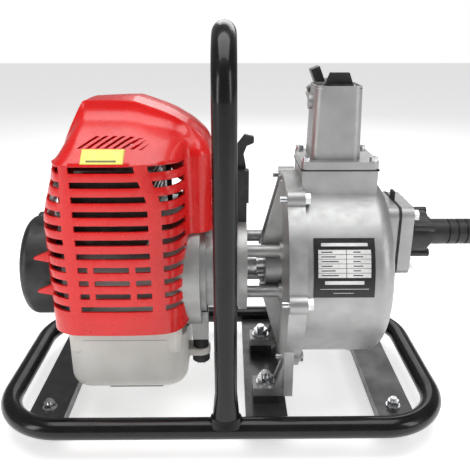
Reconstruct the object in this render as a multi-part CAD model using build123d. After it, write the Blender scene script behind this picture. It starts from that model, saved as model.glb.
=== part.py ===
from build123d import *
import math
import os

# Portable water pump: a two-stroke petrol engine drives a self-priming pump on a tube frame.
# Millimetres, +Z up. X runs along the machine, from the starter to the hose tail. The frame
# loop is centred on X = 0 while modelling, and the whole model is moved at the end so that
# the origin is the bottom centre of its bounding box.

# ---- frame ----
TUBE_DIA = 20.0
TUBE_WALL = 1.5
LOOP_LENGTH = 439.0
LOOP_WIDTH = 240.4
LOOP_CORNER = 58.5
RAIL_HEIGHT = 32.0
OVERALL_HEIGHT = 384.0
HANDLE_X = 4.3
HANDLE_BEND = 48.0
HANDLE_FOOT_WIDE = 27.0
HANDLE_FOOT_DEEP = 16.0
HANDLE_FLARE = 30.0
WELD_LEG = 3.5
PLATE_THICK = 3.0
PLATE_WIDTH = 35.0
PLATE_LIP = 8.0
PLATE_BELOW_RAIL = 1.8
END_PLATE_X = 167.5
MID_PLATE_X = 43.0
MID_PLATE_WIDTH = 40.0
FOOT_DIA = 25.0
FOOT_Y = 76.0

# ---- fasteners ----
SMALL_BOLT = 4.0
BOLT = 6.0
BIG_BOLT = 8.0
HOLE_PLAY = 0.25
RUNNING_PLAY = 0.05
BODY_GAP = 0.4

# ---- drive line ----
SHAFT_HEIGHT = 150.0
SHAFT_DIA = 14.0
STANDOFF_DIA = 12.0
STANDOFF_PITCH = 44.0
DRUM_DIA = 76.0
DRUM_WALL = 2.5
DRUM_LENGTH = 26.0
DRUM_OPEN_X = -24.0
DRUM_HUB_DIA = 25.0
ADAPTOR_DIA = 94.0
ADAPTOR_FACE_X = 25.0

# ---- engine ----
STROKE = 34.0
BORE = 40.0
ROD_LENGTH = 60.0
CYLINDER_X = -97.0
WEB_DIA = 50.0
WEB_THICK = 9.0
WEB_SPACE = 8.6
CRANKPIN_DIA = 12.0
JOURNAL_DIA = 15.0
CASE_DIA = 84.0
CASE_WALL = 6.0
CASE_LEFT_X = -140.0
CASE_RIGHT_X = -60.0
FIN_SIZE = 72.0
FIN_THICK = 2.5
FIN_PITCH = 7.0
FIN_COUNT = 9
FAN_DIA = 100.0
FAN_HOUSING_DIA = 124.0
STARTER_DIA = 100.0
STARTER_LEFT_X = -192.0
REEL_DIA = 68.0
ROPE_DIA = 3.4
SHELL = 2.6

# ---- engine covers ----
COWL_NEAR_Y = -78.0
COWL_SEAM_Y = -24.0
COWL_FAR_Y = 46.0
COWL_BOTTOM_Z = 104.0
COWL_TOP_Z = 319.0
COWL_BROW_Z = 264.0
COWL_COLUMN_X = -7.0
COWL_COLUMN_Z = 202.0
COWL_STEP_X = -28.0
COWL_CORNER = 6.0
COWL_GAP = 2.0
SLOT_ROWS = 11
SLOT_PITCH = 12.9
SLOT_HIGH = 5.4
SLOT_LOW_Z = 134.5

# ---- fuel tank ----
TANK_LEFT_X = -150.0
TANK_RIGHT_X = -34.0
TANK_NEAR_Y = -66.0
TANK_FAR_Y = 58.0
TANK_BOTTOM_Z = 41.0
TANK_HIGH = 57.0
TANK_WALL = 2.5
CAP_DIA = 38.0

# ---- pump ----
JOINT_X = 69.0
BRACKET_THICK = 9.0
CASING_RADIUS = 88.0
CASING_LENGTH = 88.0
CASING_WALL = 5.0
FLANGE_RADIUS = 95.0
FLANGE_THICK = 7.0
LOBE_RADIUS = 8.5
LOBE_CIRCLE = 94.5
LOBE_COUNT = 6
NECK_LENGTH = 70.0
NECK_DEPTH = 62.0
NECK_TOP_Z = 254.0
TOWER_LENGTH = 47.0
TOWER_DEPTH = 46.0
TOWER_TOP_Z = 329.0
TOWER_WALL = 4.0
TOWER_X = 107.0
IMPELLER_DIA = 100.0
PORT_RISE = 34.0
PORT_SQUARE = 68.0
PORT_BOLT_PITCH = 50.0
HOSE_DIA = 25.6
HOSE_BORE = 19.0
HOSE_END_X = 250.6
UNION_DIA = 43.0

# ---- worked-out positions ----
RAIL_X = (LOOP_LENGTH - TUBE_DIA) / 2
RAIL_Y = (LOOP_WIDTH - TUBE_DIA) / 2
RAIL_TOP_Z = RAIL_HEIGHT + TUBE_DIA / 2
PLATE_TOP_Z = RAIL_HEIGHT - PLATE_BELOW_RAIL
PLATE_UNDER_Z = PLATE_TOP_Z - PLATE_THICK
HANDLE_TOP_Z = OVERALL_HEIGHT - TUBE_DIA / 2
CASING_END_X = JOINT_X + CASING_LENGTH
PORT_Z = SHAFT_HEIGHT + PORT_RISE
THROW = STROKE / 2
PIN_Z = SHAFT_HEIGHT - THROW
GUDGEON_Z = PIN_Z + ROD_LENGTH
TANK_TOP_Z = TANK_BOTTOM_Z + TANK_HIGH
BOX_MID_X = (HOSE_END_X - LOOP_LENGTH / 2) / 2



# ---------------------------------------------------------------- simple solids
def rod_x(radius, x_from, x_to, y=0.0, z=SHAFT_HEIGHT):
    middle = (x_from + x_to) / 2
    return Pos(middle, y, z) * Rot(0, 90, 0) * Cylinder(radius, abs(x_to - x_from))


def rod_y(radius, y_from, y_to, x, z):
    middle = (y_from + y_to) / 2
    return Pos(x, middle, z) * Rot(90, 0, 0) * Cylinder(radius, abs(y_to - y_from))


def rod_z(radius, z_from, z_to, x, y):
    return Pos(x, y, (z_from + z_to) / 2) * Cylinder(radius, abs(z_to - z_from))


def block(x_from, x_to, y_from, y_to, z_from, z_to):
    centre = Pos((x_from + x_to) / 2, (y_from + y_to) / 2, (z_from + z_to) / 2)
    return centre * Box(abs(x_to - x_from), abs(y_to - y_from), abs(z_to - z_from))


def hex_z(across_flats, z_from, z_to, x, y):
    outline = RegularPolygon(across_flats / 2, 6, major_radius=False)
    return Pos(x, y, z_from) * extrude(outline, z_to - z_from)


def hex_x(across_flats, x_from, x_to, y, z):
    outline = RegularPolygon(across_flats / 2, 6, major_radius=False)
    return Pos(x_from, y, z) * Rot(0, 90, 0) * extrude(outline, x_to - x_from)


def side_view(points):
    """A face in the XZ plane from its corner points."""
    return make_face(Polyline(*[(x, 0, z) for x, z in points], close=True))


def depth(face, y_from, y_to):
    """Push a face of the XZ plane through a span of Y."""
    return Pos(0, y_from, 0) * extrude(face, y_to - y_from, dir=(0, 1, 0))


def group(shapes):
    """One compound of loose solids."""
    return Compound([solid for shape in shapes for solid in shape.solids()])


def around(count, circle, start=0.0):
    """Offsets (y, z) of points evenly spaced on a circle about the shaft line."""
    steps = [math.radians(start + 360 * step / count) for step in range(count)]
    return [(circle * math.cos(turn), circle * math.sin(turn)) for turn in steps]


def four_corners(half_a, half_b):
    return [(a, b) for a in (-half_a, half_a) for b in (-half_b, half_b)]


# ---------------------------------------------------------------- frame
def loop_tube(radius):
    outline = RectangleRounded(2 * RAIL_X, 2 * RAIL_Y, LOOP_CORNER)
    path = Pos(0, 0, RAIL_HEIGHT) * outline.wire()
    return sweep((path ^ 0) * Circle(radius), path)


LOOP_SOLID = loop_tube(TUBE_DIA / 2)


def base_loop():
    return LOOP_SOLID - loop_tube(TUBE_DIA / 2 - TUBE_WALL)


def handle_skin(inset):
    """The arch with its flattened feet, as a solid whose surface is set in by an amount."""
    radius = TUBE_DIA / 2 - inset
    flare_z = RAIL_TOP_Z + HANDLE_FLARE
    near, far = -RAIL_Y, RAIL_Y
    path = FilletPolyline(
        (HANDLE_X, near, flare_z),
        (HANDLE_X, near, HANDLE_TOP_Z),
        (HANDLE_X, far, HANDLE_TOP_Z),
        (HANDLE_X, far, flare_z),
        radius=HANDLE_BEND,
    )
    arch = sweep((path ^ 0) * Circle(radius), path)
    for y in (near, far):
        foot = Ellipse(HANDLE_FOOT_WIDE / 2 - inset, HANDLE_FOOT_DEEP / 2 - inset)
        sections = [Pos(HANDLE_X, y, RAIL_HEIGHT) * foot, Pos(HANDLE_X, y, flare_z) * Circle(radius)]
        arch += loft(Sketch() + sections)
    return arch


HANDLE_SOLID = handle_skin(0)


def weld_beads():
    beads = []
    low = RAIL_TOP_Z - TUBE_DIA / 4
    for y in (-RAIL_Y, RAIL_Y):
        wide = Ellipse(HANDLE_FOOT_WIDE / 2 + WELD_LEG, HANDLE_FOOT_DEEP / 2 + WELD_LEG)
        narrow = Ellipse(HANDLE_FOOT_WIDE / 2 + 0.5, HANDLE_FOOT_DEEP / 2 + 0.5)
        sections = [Pos(HANDLE_X, y, low) * wide, Pos(HANDLE_X, y, RAIL_TOP_Z + WELD_LEG) * narrow]
        bead = loft(Sketch() + sections)
        beads.append(bead - HANDLE_SOLID - LOOP_SOLID)
    return beads


def carry_handle():
    """The arch, welded to the rails: the beads belong to it."""
    return HANDLE_SOLID - handle_skin(TUBE_WALL) - LOOP_SOLID + weld_beads()


def cross_plate(x_middle, width, holes, hole_dia):
    """A flanged strip across the loop, trimmed to the tube and drilled at each (x, y)."""
    inside = RectangleRounded(2 * RAIL_X, 2 * RAIL_Y, LOOP_CORNER)
    left, right = x_middle - width / 2, x_middle + width / 2
    flat = block(left, right, -RAIL_Y, RAIL_Y, PLATE_UNDER_Z, PLATE_TOP_Z)
    low = PLATE_UNDER_Z - PLATE_LIP
    lips = block(left, left + PLATE_THICK, -RAIL_Y, RAIL_Y, low, PLATE_UNDER_Z)
    lips += block(right - PLATE_THICK, right, -RAIL_Y, RAIL_Y, low, PLATE_UNDER_Z)
    plate = (flat + lips) & (Pos(0, 0, low) * extrude(inside, PLATE_LIP + PLATE_THICK))
    plate -= LOOP_SOLID
    for x, y in holes:
        plate -= rod_z(hole_dia / 2 + HOLE_PLAY, low, PLATE_TOP_Z, x, y)
    return plate.solids().sort_by(SortBy.VOLUME)[-1]


FOOT_PLACES = four_corners(END_PLATE_X, FOOT_Y)
STUD_START_Z = PLATE_UNDER_Z / 2


def rubber_feet():
    feet = []
    for x, y in FOOT_PLACES:
        foot = rod_z(FOOT_DIA / 2, 0, PLATE_UNDER_Z, x, y)
        foot = chamfer(foot.edges().group_by(Axis.Z)[0], 1.5)
        feet.append(foot - rod_z(BOLT / 2, STUD_START_Z, PLATE_UNDER_Z, x, y))
    return feet


def topped_stud(x, y, z_from, seat_z, size, stand):
    """A stud with a washer and a hexagon nut on the seat, and its end standing proud."""
    washer_top = seat_z + size / 5
    nut_top = washer_top + size * 0.8
    stud = rod_z(size / 2, z_from, nut_top + stand, x, y)
    washer = rod_z(size * 1.15, seat_z, washer_top, x, y)
    return stud + washer + hex_z(size * 1.65, washer_top, nut_top, x, y)


def foot_bolts():
    return [topped_stud(x, y, STUD_START_Z, PLATE_TOP_Z, BOLT, 3.0) for x, y in FOOT_PLACES]


# ---------------------------------------------------------------- engine block
CASE_CHAMBER = WEB_DIA / 2 + 3
WEB_LEFT = CYLINDER_X - WEB_SPACE / 2 - WEB_THICK
WEB_RIGHT = CYLINDER_X + WEB_SPACE / 2 + WEB_THICK
BEARING_WIDE = 10.0
BEARING_DIA = 34.0
DECK_Z = SHAFT_HEIGHT + CASE_DIA / 2 + 1
HEAD_Z = DECK_Z + FIN_COUNT * FIN_PITCH
STARTER_RIM_X = CASE_LEFT_X - 10


def crankcase():
    case = rod_x(CASE_DIA / 2, CASE_LEFT_X, CASE_RIGHT_X)
    case += rod_x(STARTER_DIA / 2, STARTER_RIM_X, CASE_LEFT_X + CASE_WALL / 2)
    half = BORE / 2 + 10
    case += block(CYLINDER_X - half, CYLINDER_X + half, -half, half, SHAFT_HEIGHT, DECK_Z)
    case -= rod_x(CASE_CHAMBER, WEB_LEFT - 1, WEB_RIGHT + 1)
    case -= rod_x(JOURNAL_DIA / 2 + 1.5, STARTER_RIM_X, CASE_RIGHT_X)
    case -= rod_x(BEARING_DIA / 2, WEB_LEFT - 1 - BEARING_WIDE, WEB_RIGHT + 1 + BEARING_WIDE)
    case -= rod_x(STARTER_DIA / 2 - CASE_WALL, STARTER_RIM_X, CASE_LEFT_X)
    case -= rod_z(BORE / 2 + 3, SHAFT_HEIGHT, DECK_Z, CYLINDER_X, 0)
    return case


def crank_bearings():
    rings = []
    for start in (WEB_LEFT - 1 - BEARING_WIDE, WEB_RIGHT + 1):
        ring = rod_x(BEARING_DIA / 2, start, start + BEARING_WIDE)
        rings.append(ring - rod_x(JOURNAL_DIA / 2 + RUNNING_PLAY, start, start + BEARING_WIDE))
    return rings


CRANK_LEFT_X = STARTER_RIM_X - 6
CRANK_RIGHT_X = DRUM_OPEN_X + 17


def crank_starter_half():
    web = rod_x(WEB_DIA / 2, WEB_LEFT, WEB_LEFT + WEB_THICK)
    return web + rod_x(JOURNAL_DIA / 2, CRANK_LEFT_X, WEB_LEFT)


def crank_drive_half():
    web = rod_x(WEB_DIA / 2, WEB_RIGHT - WEB_THICK, WEB_RIGHT)
    return web + rod_x(JOURNAL_DIA / 2, WEB_RIGHT, CRANK_RIGHT_X)


ROD_HALF = WEB_SPACE / 2 - BODY_GAP


def crankpin():
    return rod_x(CRANKPIN_DIA / 2, CYLINDER_X - ROD_HALF, CYLINDER_X + ROD_HALF, 0, PIN_Z)


def connecting_rod():
    small = 4.0
    left, right = CYLINDER_X - ROD_HALF, CYLINDER_X + ROD_HALF
    rod = rod_x(CRANKPIN_DIA / 2 + 3, left, right, 0, PIN_Z)
    rod += rod_x(small + 3, left, right, 0, GUDGEON_Z)
    rod += block(CYLINDER_X - 2, CYLINDER_X + 2, -4, 4, PIN_Z, GUDGEON_Z)
    rod -= rod_x(CRANKPIN_DIA / 2, left, right, 0, PIN_Z)
    rod -= rod_x(small, left, right, 0, GUDGEON_Z)
    return rod


def piston():
    crown = GUDGEON_Z + 16
    skirt = GUDGEON_Z - 13
    radius = BORE / 2 - RUNNING_PLAY
    body = rod_z(radius, skirt, crown, CYLINDER_X, 0)
    body -= rod_z(radius - 3.5, skirt, crown - 4, CYLINDER_X, 0)
    for ring_z in (crown - 3, crown - 6.5):
        groove = rod_z(radius, ring_z - 0.8, ring_z, CYLINDER_X, 0)
        body -= groove - rod_z(radius - 1, ring_z - 0.8, ring_z, CYLINDER_X, 0)
    bosses = rod_x(7, CYLINDER_X - radius + 1, CYLINDER_X + radius - 1, 0, GUDGEON_Z)
    bosses -= block(CYLINDER_X - 6, CYLINDER_X + 6, -10, 10, skirt, crown)
    body += bosses & rod_z(radius - 1, skirt, crown, CYLINDER_X, 0)
    return body - rod_x(4, CYLINDER_X - radius, CYLINDER_X + radius, 0, GUDGEON_Z)


def gudgeon_pin():
    half = BORE / 2 - 1.5
    return rod_x(4, CYLINDER_X - half, CYLINDER_X + half, 0, GUDGEON_Z)


def cylinder():
    half = FIN_SIZE / 2
    barrel = rod_z(BORE / 2 + 6, DECK_Z, HEAD_Z, CYLINDER_X, 0)
    foot = BORE / 2 + 10
    barrel += block(CYLINDER_X - foot, CYLINDER_X + foot, -foot, foot, DECK_Z, DECK_Z + 4)
    for row in range(1, FIN_COUNT + 1):
        top = DECK_Z + row * FIN_PITCH
        barrel += block(CYLINDER_X - half, CYLINDER_X + half, -half, half, top - FIN_THICK, top)
    barrel += block(CYLINDER_X - 15, CYLINDER_X + 15, -half, half, DECK_Z + 12, DECK_Z + 36)
    crown_limit = GUDGEON_Z + 16 + STROKE + 2
    barrel -= rod_z(BORE / 2, DECK_Z, crown_limit, CYLINDER_X, 0)
    barrel += rod_z(BORE / 2 + 6, crown_limit, crown_limit + 10, CYLINDER_X, 0)
    return barrel - rod_z(5, crown_limit, crown_limit + 20, CYLINDER_X, 0)


PLUG_SEAT_Z = max(GUDGEON_Z + 16 + STROKE + 12, HEAD_Z)


def spark_plug():
    thread = rod_z(5, PLUG_SEAT_Z - 10, PLUG_SEAT_Z, CYLINDER_X, 0)
    body = hex_z(16, PLUG_SEAT_Z, PLUG_SEAT_Z + 9, CYLINDER_X, 0)
    return thread + body + rod_z(4.5, PLUG_SEAT_Z + 9, PLUG_SEAT_Z + 26, CYLINDER_X, 0)


LEAD_RADIUS = 2.5


def plug_cap():
    """The rubber boot with the ignition lead that runs down to the coil."""
    low = PLUG_SEAT_Z + 14
    arm_z = low + 13
    cap = rod_z(9, low, low + 20, CYLINDER_X, 0)
    cap += rod_x(6, CYLINDER_X, CYLINDER_X + 18, 0, arm_z)
    path = FilletPolyline(
        (CYLINDER_X + 16, 0, arm_z),
        (COIL_X, 0, arm_z),
        (COIL_X, 0, COIL_TOP_Z),
        radius=3 * LEAD_RADIUS,
    )
    cap += sweep((path ^ 0) * Circle(LEAD_RADIUS), path)
    return cap - rod_z(4.5, low, PLUG_SEAT_Z + 26, CYLINDER_X, 0)


MUFFLER_FAR_Y = -FIN_SIZE / 2 - 2
MUFFLER_NEAR_Y = COWL_NEAR_Y + SHELL + 5


def muffler():
    box = block(CYLINDER_X - 34, CYLINDER_X + 34, MUFFLER_NEAR_Y, MUFFLER_FAR_Y, DECK_Z + 2, DECK_Z + 62)
    box = fillet(box.edges().filter_by(Axis.Y), 9)
    box += rod_y(9, MUFFLER_FAR_Y, -FIN_SIZE / 2, CYLINDER_X, DECK_Z + 24)
    return box + rod_y(5, MUFFLER_NEAR_Y - 3, MUFFLER_NEAR_Y, CYLINDER_X - 18, DECK_Z + 12)


# ---------------------------------------------------------------- intake side
INTAKE_Z = DECK_Z + 24
CARB_NEAR_Y = FIN_SIZE / 2 + 12
CARB_FAR_Y = CARB_NEAR_Y + 24


def intake_spacer():
    spacer = block(CYLINDER_X - 20, CYLINDER_X + 20, FIN_SIZE / 2, CARB_NEAR_Y, INTAKE_Z - 14, INTAKE_Z + 14)
    return spacer - rod_y(7, FIN_SIZE / 2, CARB_NEAR_Y, CYLINDER_X, INTAKE_Z)


CARB_MID_Y = (CARB_NEAR_Y + CARB_FAR_Y) / 2
CARB_LOW_Z = INTAKE_Z - 16
BULB_RADIUS = 9.5
BULB_TRAVEL = 4.0
BULB_RING_DEEP = 10.0


def carburettor():
    body = block(CYLINDER_X - 17, CYLINDER_X + 17, CARB_NEAR_Y, CARB_FAR_Y, CARB_LOW_Z, INTAKE_Z + 18)
    body -= rod_y(7, CARB_NEAR_Y, CARB_FAR_Y, CYLINDER_X, INTAKE_Z)
    body += rod_z(10, INTAKE_Z + 18, INTAKE_Z + 26, CYLINDER_X, CARB_MID_Y)
    ring_low = CARB_LOW_Z - BULB_RING_DEEP
    body += rod_z(BULB_RADIUS + 2.5, ring_low, CARB_LOW_Z, CYLINDER_X, CARB_MID_Y)
    return body - rod_z(BULB_RADIUS + RUNNING_PLAY, ring_low, CARB_LOW_Z - 3, CYLINDER_X, CARB_MID_Y)


def primer_bulb():
    top = CARB_LOW_Z - 3 - BULB_TRAVEL - BODY_GAP
    flange = rod_z(BULB_RADIUS, top - 2, top, CYLINDER_X, CARB_MID_Y)
    dome = Pos(CYLINDER_X, CARB_MID_Y, top - 2) * Sphere(BULB_RADIUS - 1.5)
    half = BULB_RADIUS
    below = block(CYLINDER_X - half, CYLINDER_X + half, CARB_MID_Y - half, CARB_MID_Y + half,
                  top - 2 - half, top - 2)
    return flange + (dome & below)


FILTER_FAR_Y = CARB_FAR_Y + 24


def air_filter_box():
    plate = block(CYLINDER_X - 34, CYLINDER_X + 34, CARB_FAR_Y, CARB_FAR_Y + 3, INTAKE_Z - 26, INTAKE_Z + 38)
    return plate - rod_y(7, CARB_FAR_Y, CARB_FAR_Y + 3, CYLINDER_X, INTAKE_Z)


def filter_foam():
    left, right = CYLINDER_X - 29, CYLINDER_X + 29
    return block(left, right, CARB_FAR_Y + 3, CARB_FAR_Y + 13, INTAKE_Z - 20, INTAKE_Z + 32)


def air_filter_cover():
    left, right = CYLINDER_X - 34, CYLINDER_X + 34
    cover = block(left, right, CARB_FAR_Y + 3, FILTER_FAR_Y, INTAKE_Z - 26, INTAKE_Z + 38)
    cover = fillet(cover.edges().filter_by(Axis.Y), 8)
    cover = fillet(cover.faces().sort_by(Axis.Y)[-1].edges(), 5)
    space = block(left + 3, right - 3, CARB_FAR_Y + 3, FILTER_FAR_Y - 3, INTAKE_Z - 23, INTAKE_Z + 35)
    cover -= fillet(space.edges().filter_by(Axis.Y), 5)
    for row in range(4):
        z = INTAKE_Z + row * 9 - 10
        cover -= block(left, left + 4, CARB_FAR_Y + 7, FILTER_FAR_Y - 8, z, z + 4)
    return cover + rod_x(CHOKE_PIN, right - 2, CHOKE_X + 3, CHOKE_Y, CHOKE_Z)


CHOKE_X = CYLINDER_X + 34 + BODY_GAP
CHOKE_Y = CARB_FAR_Y + 11
CHOKE_Z = INTAKE_Z + 10
CHOKE_PIN = 2.5


def choke_lever():
    lever = rod_x(6, CHOKE_X, CHOKE_X + 4, CHOKE_Y, CHOKE_Z)
    lever += block(CHOKE_X, CHOKE_X + 4, CHOKE_Y - 4, CHOKE_Y + 4, CHOKE_Z, CHOKE_Z + 24)
    lever += block(CHOKE_X, CHOKE_X + 9, CHOKE_Y - 4, CHOKE_Y + 4, CHOKE_Z + 20, CHOKE_Z + 24)
    return lever - rod_x(CHOKE_PIN + RUNNING_PLAY, CHOKE_X, CHOKE_X + 4, CHOKE_Y, CHOKE_Z)


# ---------------------------------------------------------------- fan end and clutch
FAN_LEFT_X = CASE_RIGHT_X
FAN_RIGHT_X = DRUM_OPEN_X + 4
CLUTCH_CASE_RADIUS = DRUM_DIA / 2 + 6


FAN_WALL = 3.5
COIL_BOX_NEAR_Y = COWL_SEAM_Y + 2
COIL_BOX_FAR_Y = COIL_BOX_NEAR_Y + 54
COIL_BOX_TOP_Z = SHAFT_HEIGHT + FAN_HOUSING_DIA / 2 + 6


def fan_housing():
    radius = FAN_HOUSING_DIA / 2
    inner_left, inner_right = FAN_LEFT_X + FAN_WALL, FAN_RIGHT_X - FAN_WALL
    housing = rod_x(radius, FAN_LEFT_X, FAN_RIGHT_X)
    housing += block(FAN_LEFT_X, FAN_RIGHT_X, COIL_BOX_NEAR_Y, COIL_BOX_FAR_Y, SHAFT_HEIGHT, COIL_BOX_TOP_Z)
    housing -= rod_x(FAN_DIA / 2 + 4, inner_left, inner_right)
    housing -= block(inner_left, inner_right, COIL_BOX_NEAR_Y + FAN_WALL, COIL_BOX_FAR_Y - FAN_WALL,
                     SHAFT_HEIGHT, COIL_BOX_TOP_Z)
    housing -= rod_x(JOURNAL_DIA / 2 + 6, FAN_LEFT_X, inner_left)
    housing -= rod_x(CLUTCH_CASE_RADIUS - 4, inner_right, FAN_RIGHT_X)
    return housing + tank_lug()


FLYWHEEL_LEFT_X = FAN_LEFT_X + FAN_WALL + 1
FLYWHEEL_RIGHT_X = DRUM_OPEN_X - 4


def flywheel():
    outer = FAN_DIA / 2
    wheel = rod_x(outer, FLYWHEEL_LEFT_X, FLYWHEEL_LEFT_X + 5)
    wheel += rod_x(26, FLYWHEEL_LEFT_X, FLYWHEEL_RIGHT_X)
    blade = block(FLYWHEEL_LEFT_X + 5, FLYWHEEL_RIGHT_X, -1.2, 1.2, SHAFT_HEIGHT + 25, SHAFT_HEIGHT + outer - 2)
    line = Axis((0, 0, SHAFT_HEIGHT), (1, 0, 0))
    wheel += [blade.rotate(line, 360 * step / 16) for step in range(16)]
    return wheel - rod_x(JOURNAL_DIA / 2, FLYWHEEL_LEFT_X, FLYWHEEL_RIGHT_X)


COIL_LOW_Z = SHAFT_HEIGHT + FAN_DIA / 2 + 1
COIL_TOP_Z = COIL_LOW_Z + 16
COIL_X = FAN_LEFT_X + FAN_WALL + 6


def ignition_coil():
    """The coil block and its two legs, fixed to the left wall of the fan housing."""
    left, right = FAN_LEFT_X + FAN_WALL, COIL_X + 6
    middle = (COIL_BOX_NEAR_Y + COIL_BOX_FAR_Y) / 2
    coil = block(left, right, middle - 19, middle + 19, COIL_LOW_Z + 6, COIL_TOP_Z)
    for y in (middle - 14, middle + 14):
        coil += block(left, right, y - 5, y + 5, COIL_LOW_Z, COIL_LOW_Z + 8)
    return coil


SHOE_OUTER = DRUM_DIA / 2 - DRUM_WALL - 1.2


def clutch_shoes():
    left, right = DRUM_OPEN_X - 4, DRUM_OPEN_X + 14
    hub = rod_x(12, left, right)
    ring = rod_x(SHOE_OUTER, left + 5, right) - rod_x(SHOE_OUTER - 10, left + 5, right)
    ring -= block(left, right, -SHOE_OUTER, SHOE_OUTER, SHAFT_HEIGHT - 2, SHAFT_HEIGHT + 2)
    ring += block(left + 5, right, -4, 4, SHAFT_HEIGHT - SHOE_OUTER + 1, SHAFT_HEIGHT + SHOE_OUTER - 1)
    return hub + ring - rod_x(JOURNAL_DIA / 2, left, right)


DRUM_WEB_X = DRUM_OPEN_X + DRUM_LENGTH
HUB_END_X = ADAPTOR_FACE_X + 10
CLUTCH_BEARING_DIA = 42.0
CLUTCH_BEARING_X = DRUM_WEB_X + 5


def clutch_drum():
    drum = rod_x(DRUM_DIA / 2, DRUM_OPEN_X, DRUM_WEB_X)
    drum -= rod_x(DRUM_DIA / 2 - DRUM_WALL, DRUM_OPEN_X, DRUM_WEB_X - 3)
    drum += rod_x(DRUM_HUB_DIA / 2, DRUM_WEB_X, HUB_END_X)
    return drum - rod_x(SHAFT_DIA / 2, DRUM_WEB_X - 3, HUB_END_X)


def clutch_bearing():
    end = ADAPTOR_FACE_X - 4
    ring = rod_x(CLUTCH_BEARING_DIA / 2, CLUTCH_BEARING_X, end)
    return ring - rod_x(DRUM_HUB_DIA / 2 + RUNNING_PLAY, CLUTCH_BEARING_X, end)


STANDOFF_PLACES = four_corners(STANDOFF_PITCH / 2, STANDOFF_PITCH / 2)


def clutch_housing():
    housing = rod_x(CLUTCH_CASE_RADIUS, FAN_RIGHT_X, ADAPTOR_FACE_X)
    housing += rod_x(ADAPTOR_DIA / 2, ADAPTOR_FACE_X - 8.5, ADAPTOR_FACE_X)
    housing += rod_x(CLUTCH_CASE_RADIUS + 6, FAN_RIGHT_X, FAN_RIGHT_X + 5)
    housing -= rod_x(DRUM_DIA / 2 + 2, FAN_RIGHT_X, DRUM_WEB_X + 2)
    housing -= rod_x(CLUTCH_BEARING_DIA / 2, DRUM_WEB_X + 2, ADAPTOR_FACE_X - 4)
    housing -= rod_x(DRUM_HUB_DIA / 2 + 2, ADAPTOR_FACE_X - 4, ADAPTOR_FACE_X)
    return housing


STANDOFF_END_X = JOINT_X - BRACKET_THICK - 3


def standoff_rods():
    return group(rod_x(STANDOFF_DIA / 2, ADAPTOR_FACE_X, STANDOFF_END_X, y, SHAFT_HEIGHT + z)
                 for y, z in STANDOFF_PLACES)


# ---------------------------------------------------------------- starter
STARTER_POST = 6.0
REEL_LEFT_X = STARTER_LEFT_X + 5
REEL_RIGHT_X = REEL_LEFT_X + 11
GROOVE_RADIUS = REEL_DIA / 2 - 7
ROPE_RADIUS = GROOVE_RADIUS + ROPE_DIA / 2
ROPE_X = (REEL_LEFT_X + REEL_RIGHT_X) / 2
ROPE_Z = SHAFT_HEIGHT + ROPE_RADIUS
GRIP_NEAR_Y = STARTER_DIA / 2 + 2


def starter_housing():
    radius = STARTER_DIA / 2
    shell = rod_x(radius, STARTER_LEFT_X, STARTER_RIM_X)
    shell = fillet(shell.edges().sort_by(Axis.X)[0], 8)
    shell -= rod_x(radius - 4, STARTER_LEFT_X + 3, STARTER_RIM_X)
    for step in range(8):
        turn = 360 * step / 8 + 22.5
        slot = block(STARTER_LEFT_X - 1, STARTER_LEFT_X + 4, -3, 3, SHAFT_HEIGHT + 16, SHAFT_HEIGHT + 38)
        shell -= slot.rotate(Axis((0, 0, SHAFT_HEIGHT), (1, 0, 0)), turn)
    shell += rod_x(STARTER_POST, STARTER_LEFT_X + 1, REEL_RIGHT_X + 10)
    guide = block(ROPE_X - 7, ROPE_X + 7, radius * 0.7, radius, ROPE_Z - 7, ROPE_Z + 7)
    shell += guide - rod_x(radius - 5, ROPE_X - 7, ROPE_X + 7)
    return shell - rod_y(ROPE_DIA / 2 + 0.6, 0, radius, ROPE_X, ROPE_Z)


def starter_reel():
    reel = rod_x(REEL_DIA / 2, REEL_LEFT_X, REEL_RIGHT_X)
    lane = rod_x(REEL_DIA / 2, REEL_LEFT_X + 2.5, REEL_RIGHT_X - 2.5)
    reel -= lane - rod_x(GROOVE_RADIUS, REEL_LEFT_X + 2.5, REEL_RIGHT_X - 2.5)
    reel += rod_x(11, REEL_RIGHT_X, REEL_RIGHT_X + 3)
    return reel - rod_x(STARTER_POST + RUNNING_PLAY, REEL_LEFT_X, REEL_RIGHT_X + 3)


def recoil_spring():
    """A flat coil spring behind the reel: an Archimedean spiral strip."""
    thick, turns, start, rise = 0.7, 7, STARTER_POST + 4, 2.4
    steps = 40 * turns
    def spiral(offset):
        points = []
        for step in range(steps + 1):
            turn = 2 * math.pi * turns * step / steps
            reach = start + offset + rise * turn / (2 * math.pi)
            points.append((reach * math.cos(turn), reach * math.sin(turn)))
        return points
    strip = make_face(Polyline(*spiral(0), *reversed(spiral(thick)), close=True))
    return Pos(REEL_RIGHT_X + 4.5, 0, SHAFT_HEIGHT) * Rot(0, 90, 0) * extrude(strip, 5)


def starter_cup():
    left = CRANK_LEFT_X
    cup = rod_x(30, left, left + 8) - rod_x(26, left, left + 5)
    return cup - rod_x(JOURNAL_DIA / 2, left, left + 8)


def starter_rope():
    return rod_y(ROPE_DIA / 2, 1, GRIP_NEAR_Y, ROPE_X, ROPE_Z)


def starter_grip():
    near, far = GRIP_NEAR_Y, GRIP_NEAR_Y + 17
    bar = rod_x(7.5, ROPE_X - 22, ROPE_X + 22, far - 7.5, ROPE_Z)
    bar = fillet(bar.edges(), 4)
    return bar + rod_y(6, near, far - 7.5, ROPE_X, ROPE_Z)


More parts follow.
